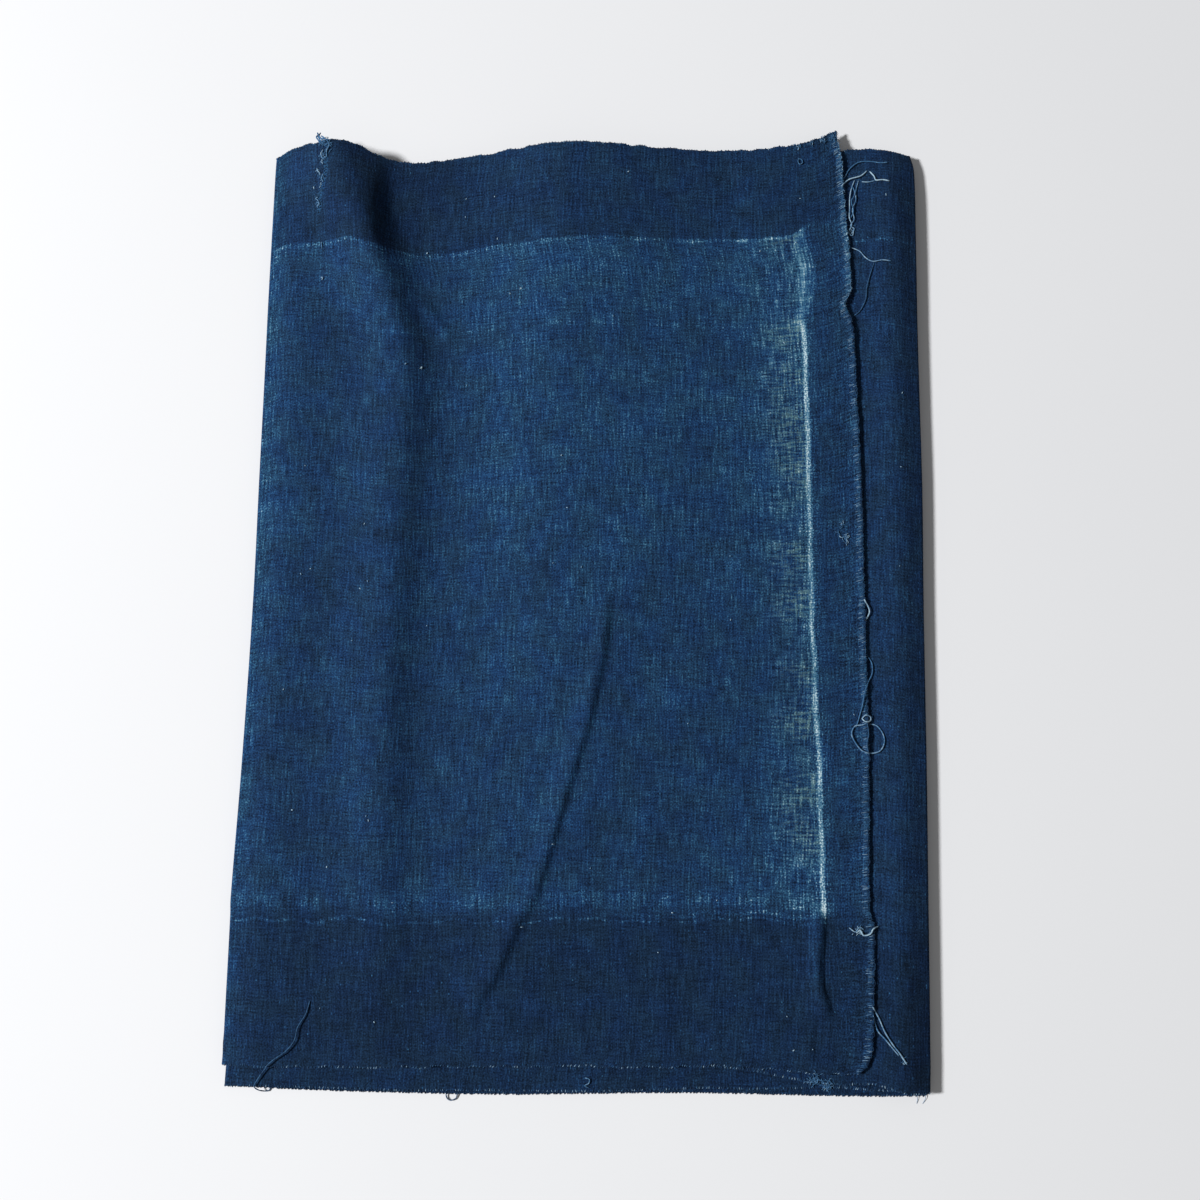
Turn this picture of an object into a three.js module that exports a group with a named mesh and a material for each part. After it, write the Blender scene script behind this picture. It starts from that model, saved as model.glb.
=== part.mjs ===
// A length of hand-woven indigo cotton, folded back and forth into four layers.
//
// Units are millimetres. X runs along the folded length, Y across the loom width from the lower selvedge to
// the upper one, and Z is up. The stack lies flat on z = 0 and is centred on its own box in X and Y.
//
// The sheet starts at a raw edge on the right of the top layer. It turns at the left fold, at the right fold
// and at the left fold again, and ends under the right fold. Layer 1 is the top one, layer 4 the bottom one.

import * as THREE from 'three';

// The sheet and how its layers stack at the folds.
const SHEET = 1.0;
const FOLD_PITCH = 1.45;
const LAYERS = 4;

// Air between the layers away from the folds: how far each layer's middle lies above its pressed height.
const PUFF = [1.4, 0.8, 0.3, 0];
const PUFF_REACH = 11;

// How much of the top layer's waves each layer follows.
const WAVE_SHARE = [1, 0.45, 0.15, 0];

// Steps of the mesh.
const FOLD_STEPS = 6;
const LAYER_STEPS = [32, 22, 16, 5];
const WIDTH_STEPS = 26;
const ROLL_CROWDING = [1, 1.8, 1.8, 1];
const EDGE_CROWDING = 0.55;
const SLOPE_STEP = 0.05;

// The long sides of the stack, a row for each height on the picture's page: the fold of layers 1 and 2, the
// fold of layers 3 and 4, the fold of layers 2 and 3, the raw edge of layer 1 and the hidden end of layer 4.
const SIDES = [
  { y: -171, upperFold: -122.8, lowerFold: -122.2, rightFold: 122.6, rawEdge: 94.6, hiddenEnd: 121.6 },
  { y: -163, upperFold: -122.8, lowerFold: -122.0, rightFold: 122.8, rawEdge: 96.6, hiddenEnd: 121.6 },
  { y: -160, upperFold: -122.6, lowerFold: -121.9, rightFold: 122.9, rawEdge: 100.1, hiddenEnd: 121.6 },
  { y: -155, upperFold: -122.6, lowerFold: -121.8, rightFold: 122.9, rawEdge: 102.0, hiddenEnd: 121.6 },
  { y: -144, upperFold: -122.6, lowerFold: -121.7, rightFold: 123.0, rawEdge: 102.8, hiddenEnd: 121.6 },
  { y: -112, upperFold: -122.6, lowerFold: -121.4, rightFold: 123.2, rawEdge: 103.3, hiddenEnd: 121.8 },
  { y: -107, upperFold: -122.8, lowerFold: -121.3, rightFold: 123.2, rawEdge: 102.0, hiddenEnd: 121.8 },
  { y: -60, upperFold: -121.4, lowerFold: -120.6, rightFold: 123.5, rawEdge: 102.3, hiddenEnd: 122.0 },
  { y: 0, upperFold: -120.4, lowerFold: -120.0, rightFold: 123.5, rawEdge: 101.6, hiddenEnd: 121.8 },
  { y: 45, upperFold: -120.5, lowerFold: -119.8, rightFold: 123.8, rawEdge: 100.8, hiddenEnd: 121.6 },
  { y: 80, upperFold: -120.5, lowerFold: -119.8, rightFold: 123.4, rawEdge: 99.5, hiddenEnd: 121.4 },
  { y: 108, upperFold: -120.6, lowerFold: -119.7, rightFold: 123.1, rawEdge: 97.9, hiddenEnd: 121.2 },
  { y: 115, upperFold: -120.6, lowerFold: -119.7, rightFold: 123.1, rawEdge: 95.6, hiddenEnd: 121.2 },
  { y: 121, upperFold: -120.6, lowerFold: -119.7, rightFold: 123.1, rawEdge: 97.8, hiddenEnd: 121.2 },
  { y: 146, upperFold: -120.5, lowerFold: -119.6, rightFold: 123.1, rawEdge: 96.5, hiddenEnd: 121.0 },
  { y: 165, upperFold: -120.4, lowerFold: -119.5, rightFold: 123.1, rawEdge: 95.2, hiddenEnd: 120.8 },
  { y: 172, upperFold: -120.2, lowerFold: -119.5, rightFold: 122.5, rawEdge: 94.8, hiddenEnd: 120.2 },
  { y: 180, upperFold: -120.0, lowerFold: -119.5, rightFold: 119.2, rawEdge: 93.6, hiddenEnd: 117.2 },
];

// The two selvedges of each layer, from left to right. Neighbouring layers share their row at a fold.
const SELVEDGES = [
  [
    { x: -122, top: 169.8, bottom: -162.6 },
    { x: -117, top: 172.9, bottom: -162.7 },
    { x: -112, top: 173.1, bottom: -162.8 },
    { x: -106, top: 172.7, bottom: -162.8 },
    { x: -99, top: 173.2, bottom: -162.8 },
    { x: -92, top: 172.9, bottom: -162.8 },
    { x: -84, top: 170.0, bottom: -162.6 },
    { x: -78, top: 168.6, bottom: -162.5 },
    { x: -65, top: 168.0, bottom: -162.2 },
    { x: -40, top: 171.2, bottom: -161.8 },
    { x: -12, top: 173.8, bottom: -161.4 },
    { x: 25, top: 174.2, bottom: -160.8 },
    { x: 52, top: 174.5, bottom: -160.5 },
    { x: 72, top: 176.6, bottom: -161.6 },
    { x: 86, top: 179.8, bottom: -162.4 },
    { x: 96, top: 184.9, bottom: -162.2 },
  ],
  [
    { x: -122, top: 169.8, bottom: -162.6 },
    { x: -90, top: 168.0, bottom: -162.5 },
    { x: -60, top: 166.6, bottom: -161.8 },
    { x: 0, top: 170.8, bottom: -160.6 },
    { x: 50, top: 174.0, bottom: -160.8 },
    { x: 84, top: 175.8, bottom: -165.8 },
    { x: 106, top: 177.0, bottom: -166.3 },
    { x: 115, top: 176.7, bottom: -168.4 },
    { x: 123, top: 175.0, bottom: -168.8 },
  ],
  [
    { x: -122, top: 164.8, bottom: -170.3 },
    { x: -60, top: 165.2, bottom: -170.5 },
    { x: 0, top: 166.8, bottom: -169.8 },
    { x: 60, top: 170.4, bottom: -168.4 },
    { x: 92, top: 173.4, bottom: -167.8 },
    { x: 110, top: 174.9, bottom: -168.3 },
    { x: 123, top: 175.0, bottom: -168.8 },
  ],
  [
    { x: -122, top: 164.8, bottom: -170.3 },
    { x: -88, top: 164.8, bottom: -171.2 },
    { x: -54, top: 164.8, bottom: -172.2 },
    { x: 5, top: 165.6, bottom: -171.0 },
    { x: 60, top: 167.6, bottom: -170.4 },
    { x: 108, top: 169.8, bottom: -170.8 },
    { x: 123, top: 170.2, bottom: -170.2 },
  ],
];

// The crest near the left fold, a row for each height on the page: its line, its rise and how far it falls
// off to the left and to the right.
const CREST = [
  { y: -172, x: -70, rise: 0.3, left: 14, right: 11 },
  { y: -140, x: -70, rise: 1.2, left: 14, right: 11 },
  { y: -95, x: -70, rise: 2.4, left: 14, right: 10 },
  { y: -30, x: -71, rise: 3.6, left: 14, right: 9 },
  { y: 40, x: -70, rise: 4.4, left: 14, right: 11 },
  { y: 88, x: -69, rise: 5.6, left: 14, right: 10 },
  { y: 124, x: -79, rise: 7.8, left: 14, right: 11.0 },
  { y: 150, x: -90, rise: 9.0, left: 13, right: 12.0 },
  { y: 176, x: -97, rise: 7.4, left: 12.5, right: 13.5 },
];

// The swell that fills the middle of the page.
const SWELL = [
  { y: -172, x: -40, rise: 0.3, left: 28, right: 40 },
  { y: -140, x: -32, rise: 1.8, left: 28, right: 36 },
  { y: -95, x: -18, rise: 3.0, left: 28, right: 44 },
  { y: -30, x: -6, rise: 3.9, left: 28, right: 58 },
  { y: 40, x: -8, rise: 4.6, left: 28, right: 56 },
  { y: 88, x: -10, rise: 5.0, left: 28, right: 50 },
  { y: 124, x: -8, rise: 5.4, left: 28, right: 42 },
  { y: 150, x: -8, rise: 6.2, left: 28, right: 38 },
  { y: 176, x: -8, rise: 7.0, left: 28, right: 36 },
];

// The raw edge, pressed down along its length. Its upper corner hangs over the edge of the layers below.
const LIFT = [
  { y: -172, x: 98, rise: -0.3, left: 17, right: 17 },
  { y: -95, x: 98, rise: -0.5, left: 17, right: 17 },
  { y: 40, x: 98, rise: -0.5, left: 17, right: 17 },
  { y: 110, x: 98, rise: -0.1, left: 17, right: 17 },
  { y: 130, x: 98, rise: -0.6, left: 17, right: 17 },
  { y: 160, x: 98, rise: -0.6, left: 17, right: 17 },
  { y: 175, x: 98, rise: -0.6, left: 15, right: 17 },
  { y: 184, x: 98, rise: -3.6, left: 10, right: 17 },
];
const WAVE_FADE = 9;

// The loose roll beside the right fold: how far it stands above the pressed stack at each height on the page.
// Its crown lies a little in from the fold, and layers 2 and 3 make it.
const SPRING = [
  { y: -171, rise: 2.4 },
  { y: 60, rise: 2.6 },
  { y: 130, rise: 3.2 },
  { y: 158, rise: 2.8 },
  { y: 178, rise: 0.7 },
];
const SPRING_SHARE = [0, 1, 0.8, 0];
const SPRING_INSET = 8;
const SPRING_REACH = 9;

const DYED_COTTON = new THREE.MeshStandardMaterial({ color: 0x1f3b60, roughness: 0.95, metalness: 0 });

// Reads one column of a table at a place between its rows, on a smooth curve through them.
function read(rows, key, at, column) {
  const last = rows.length - 1;
  let i = 0;
  while (i < last - 1 && at > rows[i + 1][key]) i += 1;
  const slope = (j) => {
    const a = rows[Math.max(j - 1, 0)];
    const b = rows[Math.min(j + 1, last)];
    return (b[column] - a[column]) / (b[key] - a[key]);
  };
  const from = rows[i];
  const to = rows[i + 1];
  const run = to[key] - from[key];
  const t = THREE.MathUtils.clamp((at - from[key]) / run, 0, 1);
  const rise = to[column] - from[column];
  const bend = t * (1 - t) * ((1 - t) * (slope(i) * run - rise) - t * (slope(i + 1) * run - rise));
  return from[column] + rise * t + bend;
}

// The height over the page of one wave: at each y a soft bump that falls off at its own pace on each side.
function wave(rows, x, y) {
  const at = (column) => read(rows, 'y', y, column);
  const away = x - at('x');
  const d = away / at(away < 0 ? 'left' : 'right');
  return at('rise') * Math.exp(-d * d);
}

// The height over the page of the loose roll beside the right fold.
function roll(layer, inset, y) {
  const d = (inset - SPRING_INSET) / SPRING_REACH;
  return SPRING_SHARE[layer] * read(SPRING, 'y', y, 'rise') * Math.exp(-d * d);
}

// Where a layer's flat run begins and ends at a height y on the page. A fold's arc takes up the rest.
function ends(layer, y) {
  const side = (column) => read(SIDES, 'y', y, column);
  const arc = (SHEET + FOLD_PITCH) / 2;
  const left = side(layer < 2 ? 'upperFold' : 'lowerFold') + arc;
  const right = side('rightFold') - arc - (roll(1, 0, y) - roll(2, 0, y)) / 2;
  return [left, [side('rawEdge'), right, right, side('hiddenEnd')][layer]];
}

// The height of a layer's middle. It is pressed flat at its folds and loose between them.
function height(layer, x, y) {
  const [left, right] = ends(layer, y);
  const near = THREE.MathUtils.smoothstep(x - left, 0, PUFF_REACH);
  const far = layer === 0 ? 1 : THREE.MathUtils.smoothstep(right - x, 0, PUFF_REACH);
  const fade = THREE.MathUtils.smoothstep(x - left, 0, WAVE_FADE);
  const pressed = SHEET / 2 + (LAYERS - 1 - layer) * FOLD_PITCH;
  const waves = wave(CREST, x, y) + wave(SWELL, x, y);
  const raised = layer === 0 ? wave(LIFT, x, y) : roll(layer, right - x, y);
  return pressed + PUFF[layer] * near * far + WAVE_SHARE[layer] * waves * fade * far + raised;
}

// A point of a layer's middle, q running from its left end to its right and v from bottom to top, and the
// direction that the sheet's upper face has there when the layer lies face up.
function layerPoint(layer, q, v) {
  const nominal = THREE.MathUtils.lerp(SELVEDGES[layer][0].x, SELVEDGES[layer].at(-1).x, q);
  const top = read(SELVEDGES[layer], 'x', nominal, 'top');
  const bottom = read(SELVEDGES[layer], 'x', nominal, 'bottom');
  const y = THREE.MathUtils.lerp(bottom, top, v);
  const [left, right] = ends(layer, y);
  const x = THREE.MathUtils.lerp(left, right, q);
  const z = height(layer, x, y);
  const slopeX = (height(layer, x + SLOPE_STEP, y) - height(layer, x - SLOPE_STEP, y)) / (2 * SLOPE_STEP);
  const slopeY = (height(layer, x, y + SLOPE_STEP) - height(layer, x, y - SLOPE_STEP)) / (2 * SLOPE_STEP);
  return { point: new THREE.Vector3(x, y, z), up: new THREE.Vector3(-slopeX, -slopeY, 1).normalize() };
}

// A point on the fold below a layer: turn runs from 0 where that layer ends to 1 where the next one begins.
function foldPoint(layer, turn, v) {
  const atLeft = layer % 2 === 0;
  const q = atLeft ? 0 : 1;
  const above = layerPoint(layer, q, v).point;
  const below = layerPoint(layer + 1, q, v).point;
  const angle = Math.PI * turn;
  const out = new THREE.Vector3(atLeft ? -1 : 1, 0, 0);
  const radius = (above.z - below.z) / 2;
  const centre = above.clone().add(below).multiplyScalar(0.5);
  const ray = out.clone().multiplyScalar(Math.sin(angle));
  ray.z = Math.cos(angle);
  return { point: centre.addScaledVector(ray, radius), up: ray };
}

// The width is stepped more closely towards both selvedges, where the corners are round. Layers 2 and 3 are
// stepped more closely towards the right fold, where they roll.
function widthAt(j) {
  const even = j / WIDTH_STEPS;
  const crowded = (1 - Math.cos(Math.PI * even)) / 2;
  return THREE.MathUtils.lerp(even, crowded, EDGE_CROWDING);
}

// Every station along the sheet, from the raw edge to the hidden end, as a row of points across the width.
function stations() {
  const rows = [];
  const addRow = (pointAt, faceUp) => {
    const row = [];
    for (let j = 0; j <= WIDTH_STEPS; j += 1) {
      const { point, up } = pointAt(widthAt(j));
      row.push({ point, face: up.clone().multiplyScalar(faceUp ? 1 : -1) });
    }
    rows.push(row);
  };
  for (let layer = 0; layer < LAYERS; layer += 1) {
    const faceUp = layer % 2 === 0;
    for (let i = 0; i <= LAYER_STEPS[layer]; i += 1) {
      const along = i / LAYER_STEPS[layer];
      const fromLeft = faceUp ? 1 - along : along;
      const q = 1 - (1 - fromLeft) ** ROLL_CROWDING[layer];
      addRow((v) => layerPoint(layer, q, v), faceUp);
    }
    if (layer === LAYERS - 1) break;
    for (let i = 1; i < FOLD_STEPS; i += 1) {
      addRow((v) => foldPoint(layer, i / FOLD_STEPS, v), faceUp);
    }
  }
  return rows;
}

// Thickens the stations into one closed body: two faces half a sheet off the middle, with walls at the edges.
function sheetGeometry() {
  const rows = stations();
  const across = WIDTH_STEPS + 1;
  const positions = [];
  for (const side of [1, -1]) {
    for (const row of rows) {
      for (const { point, face } of row) {
        const p = point.clone().addScaledVector(face, (side * SHEET) / 2);
        positions.push(p.x, p.y, p.z);
      }
    }
  }
  const count = rows.length * across;
  const front = (i, j) => i * across + j;
  const back = (i, j) => count + front(i, j);
  const indices = [];
  const quad = (a, b, c, d) => indices.push(a, b, c, a, c, d);
  for (let i = 0; i < rows.length - 1; i += 1) {
    for (let j = 0; j < WIDTH_STEPS; j += 1) {
      quad(front(i, j), front(i, j + 1), front(i + 1, j + 1), front(i + 1, j));
      quad(back(i, j), back(i + 1, j), back(i + 1, j + 1), back(i, j + 1));
    }
    quad(front(i, 0), front(i + 1, 0), back(i + 1, 0), back(i, 0));
    const upper = WIDTH_STEPS;
    quad(front(i + 1, upper), front(i, upper), back(i, upper), back(i + 1, upper));
  }
  const end = rows.length - 1;
  for (let j = 0; j < WIDTH_STEPS; j += 1) {
    quad(front(0, j + 1), front(0, j), back(0, j), back(0, j + 1));
    quad(front(end, j), front(end, j + 1), back(end, j + 1), back(end, j));
  }
  const geometry = new THREE.BufferGeometry();
  geometry.setAttribute('position', new THREE.Float32BufferAttribute(positions, 3));
  geometry.setIndex(indices);
  geometry.computeVertexNormals();
  return geometry;
}

const geometry = sheetGeometry();
geometry.computeBoundingBox();
const centre = geometry.boundingBox.getCenter(new THREE.Vector3());
geometry.translate(-centre.x, -centre.y, -geometry.boundingBox.min.z);

const cloth = new THREE.Mesh(geometry, DYED_COTTON);
cloth.name = 'cloth';

const group = new THREE.Group();
group.add(cloth);

export default group;
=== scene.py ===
import logging
import math
import random
from dataclasses import dataclass, field
from enum import Enum
from typing import Callable, NamedTuple, Sequence

import bpy
import numpy as np
from mathutils import Matrix, Vector, noise


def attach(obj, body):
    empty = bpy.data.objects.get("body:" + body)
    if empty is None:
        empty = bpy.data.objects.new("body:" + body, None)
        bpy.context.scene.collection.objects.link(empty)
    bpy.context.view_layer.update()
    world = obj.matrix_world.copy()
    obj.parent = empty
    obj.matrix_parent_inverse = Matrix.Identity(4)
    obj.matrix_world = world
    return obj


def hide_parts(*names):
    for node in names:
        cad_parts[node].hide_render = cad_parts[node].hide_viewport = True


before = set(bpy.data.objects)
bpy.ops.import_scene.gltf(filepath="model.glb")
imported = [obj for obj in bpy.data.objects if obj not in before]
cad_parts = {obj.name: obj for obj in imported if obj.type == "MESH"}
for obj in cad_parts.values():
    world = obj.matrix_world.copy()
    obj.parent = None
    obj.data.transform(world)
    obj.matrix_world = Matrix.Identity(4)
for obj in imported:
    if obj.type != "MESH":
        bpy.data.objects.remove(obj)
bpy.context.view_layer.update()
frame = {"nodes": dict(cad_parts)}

LOG = logging.getLogger("folded_cloth")

# Lengths are in millimetres on the page of the cloth, and become metres where a mesh is written.
MM = 0.001
LOOM_WIDTH = 335.0
TINY = 1e-9


class Side(NamedTuple):
    """Where the long edges of the stack lie at one height on the page."""

    y: float
    upper_fold: float
    lower_fold: float
    right_fold: float
    raw_edge: float
    hidden_end: float


class Selvedge(NamedTuple):
    """Where a layer's two selvedges lie at one place along it."""

    x: float
    top: float
    bottom: float


class Wave(NamedTuple):
    """The line, the rise and the reach of a wave of the top layer at one height on the page."""

    y: float
    x: float
    rise: float
    left: float
    right: float


class Spring(NamedTuple):
    """How far the loose roll beside the right fold stands above the pressed stack at one height on the page."""

    y: float
    rise: float


class Point(NamedTuple):
    """A place on the page."""

    x: float
    y: float


class Crease(NamedTuple):
    """A ridge or, with a negative rise, a trough along a line, with its own reach to either side of it."""

    rise: float
    left: float
    right: float
    taper: float
    path: tuple[Point, ...]


class Band(NamedTuple):
    """A stretch of a layer and the step of its mesh there."""

    start: float
    stop: float
    step: float


class Layer(Enum):
    """The four layers, from the top one down."""

    TOP = 0
    SECOND = 1
    THIRD = 2
    LOWEST = 3


def table(kind: type, *rows: tuple) -> tuple:
    """Gives the rows of a table their named columns, and the points in them theirs.

    Args:
        kind: The named tuple that a row becomes.
        rows: The values of each row; a tuple among them holds pairs of coordinates.

    Returns:
        The named rows.
    """
    def named(cell: object) -> object:
        """Names the coordinates in a cell that holds points."""
        return tuple(Point(*xy) for xy in cell) if isinstance(cell, tuple) else cell

    return tuple(kind(*map(named, row)) for row in rows)


SIDES = table(
    Side,
    (-171, -122.8, -122.2, 122.6, 94.6, 121.6), (-163, -122.8, -122.0, 122.8, 96.6, 121.6),
    (-160, -122.6, -121.9, 122.9, 100.1, 121.6), (-155, -122.6, -121.8, 122.9, 102.0, 121.6),
    (-144, -122.6, -121.7, 123.0, 102.8, 121.6), (-112, -122.6, -121.4, 123.2, 103.3, 121.8),
    (-107, -122.8, -121.3, 123.2, 102.0, 121.8), (-60, -121.4, -120.6, 123.5, 102.3, 122.0),
    (0, -120.4, -120.0, 123.5, 101.6, 121.8), (45, -120.5, -119.8, 123.8, 100.8, 121.6),
    (80, -120.5, -119.8, 123.4, 99.5, 121.4), (108, -120.6, -119.7, 123.1, 97.9, 121.2),
    (115, -120.6, -119.7, 123.1, 95.6, 121.2), (121, -120.6, -119.7, 123.1, 97.8, 121.2),
    (146, -120.5, -119.6, 123.1, 96.5, 121.0), (165, -120.4, -119.5, 123.1, 95.2, 120.8),
    (172, -120.2, -119.5, 122.5, 94.8, 120.2), (180, -120.0, -119.5, 119.2, 93.6, 117.2),
)

SELVEDGES = {
    Layer.TOP: table(
        Selvedge,
        (-122, 169.8, -162.6), (-117, 172.9, -162.7), (-112, 173.1, -162.8), (-106, 172.7, -162.8),
        (-99, 173.2, -162.8), (-92, 172.9, -162.8), (-84, 170.0, -162.6), (-78, 168.6, -162.5),
        (-65, 168.0, -162.2), (-40, 171.2, -161.8), (-12, 173.8, -161.4), (25, 174.2, -160.8),
        (52, 174.5, -160.5), (72, 176.6, -161.6), (86, 179.8, -162.4), (96, 184.9, -162.2),
    ),
    Layer.SECOND: table(
        Selvedge,
        (-122, 169.8, -162.6), (-90, 168.0, -162.5), (-60, 166.6, -161.8), (0, 170.8, -160.6),
        (50, 174.0, -160.8), (84, 175.8, -165.8), (106, 177.0, -166.3), (115, 176.7, -168.4),
        (123, 175.0, -168.8),
    ),
    Layer.THIRD: table(
        Selvedge,
        (-122, 164.8, -170.3), (-60, 165.2, -170.5), (0, 166.8, -169.8), (60, 170.4, -168.4),
        (92, 173.4, -167.8), (110, 174.9, -168.3), (123, 175.0, -168.8),
    ),
    Layer.LOWEST: table(
        Selvedge,
        (-122, 164.8, -170.3), (-88, 164.8, -171.2), (-54, 164.8, -172.2), (5, 165.6, -171.0),
        (60, 167.6, -170.4), (108, 169.8, -170.8), (123, 170.2, -170.2),
    ),
}

SPRING = table(
    Spring,
    (-171, 2.4), (60, 2.6), (130, 3.2), (158, 2.8), (178, 0.7),
)

# The crest near the left fold, the swell in the middle and the raw edge, whose upper corner hangs down.
CREST = table(
    Wave,
    (-172, -70, 0.3, 14, 11), (-140, -70, 1.2, 14, 11), (-95, -70, 2.4, 14, 10),
    (-30, -71, 3.6, 14, 9), (40, -70, 4.4, 14, 11), (88, -69, 5.6, 14, 10),
    (124, -79, 7.8, 14, 11.0), (150, -90, 9.0, 13, 12.0), (176, -97, 7.4, 12.5, 13.5),
)
SWELL = table(
    Wave,
    (-172, -40, 0.3, 28, 40), (-140, -32, 1.8, 28, 36), (-95, -18, 3.0, 28, 44),
    (-30, -6, 3.9, 28, 58), (40, -8, 4.6, 28, 56), (88, -10, 5.0, 28, 50),
    (124, -8, 5.4, 28, 42), (150, -8, 6.2, 28, 38), (176, -8, 7.0, 28, 36),
)
LIFT = table(
    Wave,
    (-172, 98, -0.3, 17, 17), (-95, 98, -0.5, 17, 17), (40, 98, -0.5, 17, 17), (110, 98, -0.1, 17, 17),
    (130, 98, -0.6, 17, 17), (160, 98, -0.6, 17, 17), (175, 98, -0.6, 15, 17), (184, 98, -3.6, 10, 17),
)

# Pressed and rumpled creases of the top layer.
CREASES = table(
    Crease,
    (1.45, 5.0, 1.3, 12, ((8.6, 2), (7, -17), (1.7, -44), (-4.3, -63), (-12.2, -92), (-15.6, -103.5),
     (-20.8, -112), (-28.9, -131), (-34.2, -139), (-37, -147))),
    (0.5, 3.0, 2.2, 5, ((-31.4, -137), (-27, -142), (-23.5, -148))),
    (0.4, 2.4, 2.0, 4, ((-48, -146), (-44, -149), (-40.5, -152))),
    (0.45, 3.6, 2.4, 12, ((48.1, -128), (46.8, -144), (48.2, -160))),
    (1.7, 4.2, 1.2, 5, ((85.2, -107), (83.5, -125.5), (83.8, -133), (87.4, -144))),
    (0.5, 2.2, 1.6, 5, ((80.4, -146), (80.3, -160))),
    (-0.6, 3.4, 2.6, 9, ((49.5, 177), (53.6, 160.4), (58, 149))),
    (0.35, 3.0, 2.6, 7, ((39.5, 176), (43.7, 159))),
    (0.3, 2.0, 1.3, 3, ((-121.6, -153), (-118.2, -163.5))),
    (1.7, 7.0, 3.4, 12, ((-81.5, 171), (-81.5, 160), (-82.5, 148), (-82, 136), (-78, 124))),
    (0.9, 3.0, 1.5, 6, ((-63, 114), (-56, 105), (-49, 95))),
)


def read(rows: Sequence[NamedTuple], key: str, column: str, at: np.ndarray) -> np.ndarray:
    """Reads one column of a table on a smooth curve through its rows.

    Args:
        rows: The table, in rising order of the key column.
        key: The column that the table is ordered by.
        column: The column to read.
        at: Places along the key.

    Returns:
        The column's value at each place.
    """
    keys = np.array([getattr(row, key) for row in rows], float)
    values = np.array([getattr(row, column) for row in rows], float)
    last = len(rows) - 1
    before = np.maximum(np.arange(last + 1) - 1, 0)
    after = np.minimum(np.arange(last + 1) + 1, last)
    slopes = (values[after] - values[before]) / (keys[after] - keys[before])
    at = np.asarray(at, float)
    i = np.clip(np.searchsorted(keys[1:], at, side="left"), 0, last - 1)
    run = keys[i + 1] - keys[i]
    t = np.clip((at - keys[i]) / run, 0, 1)
    rise = values[i + 1] - values[i]
    bend = t * (1 - t) * ((1 - t) * (slopes[i] * run - rise) - t * (slopes[i + 1] * run - rise))
    return values[i] + rise * t + bend


def ease(value: np.ndarray, start: float, stop: float) -> np.ndarray:
    """Rises smoothly from 0 at start to 1 at stop."""
    t = np.clip((value - start) / (stop - start), 0, 1)
    return t * t * (3 - 2 * t)


def unit(vectors: np.ndarray) -> np.ndarray:
    """Vectors of the same headings, with a length of 1."""
    return vectors / np.maximum(np.linalg.norm(vectors, axis=-1, keepdims=True), TINY)


def travelled(path: np.ndarray) -> np.ndarray:
    """How far each point of a path lies along it from its start."""
    steps = np.linalg.norm(np.diff(path, axis=0), axis=-1)
    return np.concatenate([np.zeros_like(steps[:1]), np.cumsum(steps, axis=0)])


def between(at: float, places: np.ndarray, points: np.ndarray) -> np.ndarray:
    """The point at one place along a row of points."""
    return np.array([np.interp(at, places, column) for column in points.T])


def write_uv(mesh: bpy.types.Mesh, layer: bpy.types.MeshUVLoopLayer, pairs: np.ndarray) -> None:
    """Writes two lengths of each vertex to the corners of a UV map.

    Args:
        mesh: The mesh.
        layer: Its UV map.
        pairs: The lengths, vertices by 2.
    """
    corners = np.empty(len(mesh.loops), int)
    mesh.loops.foreach_get("vertex_index", corners)
    layer.data.foreach_set("uv", (pairs[corners] * MM).ravel())


def rumple(x: np.ndarray, y: np.ndarray, size: float, seed: float) -> np.ndarray:
    """A smooth uneven field between about -1 and 1.

    Args:
        x: Places on the page.
        y: Places on the page.
        size: The width of its lumps.
        seed: Picks one field of many.

    Returns:
        The field at each place.
    """
    flat_x, flat_y = np.ravel(x) / size, np.ravel(y) / size
    field_values = [noise.noise(Vector((a, b, seed))) for a, b in zip(flat_x, flat_y)]
    return np.reshape(field_values, np.shape(x))


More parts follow.
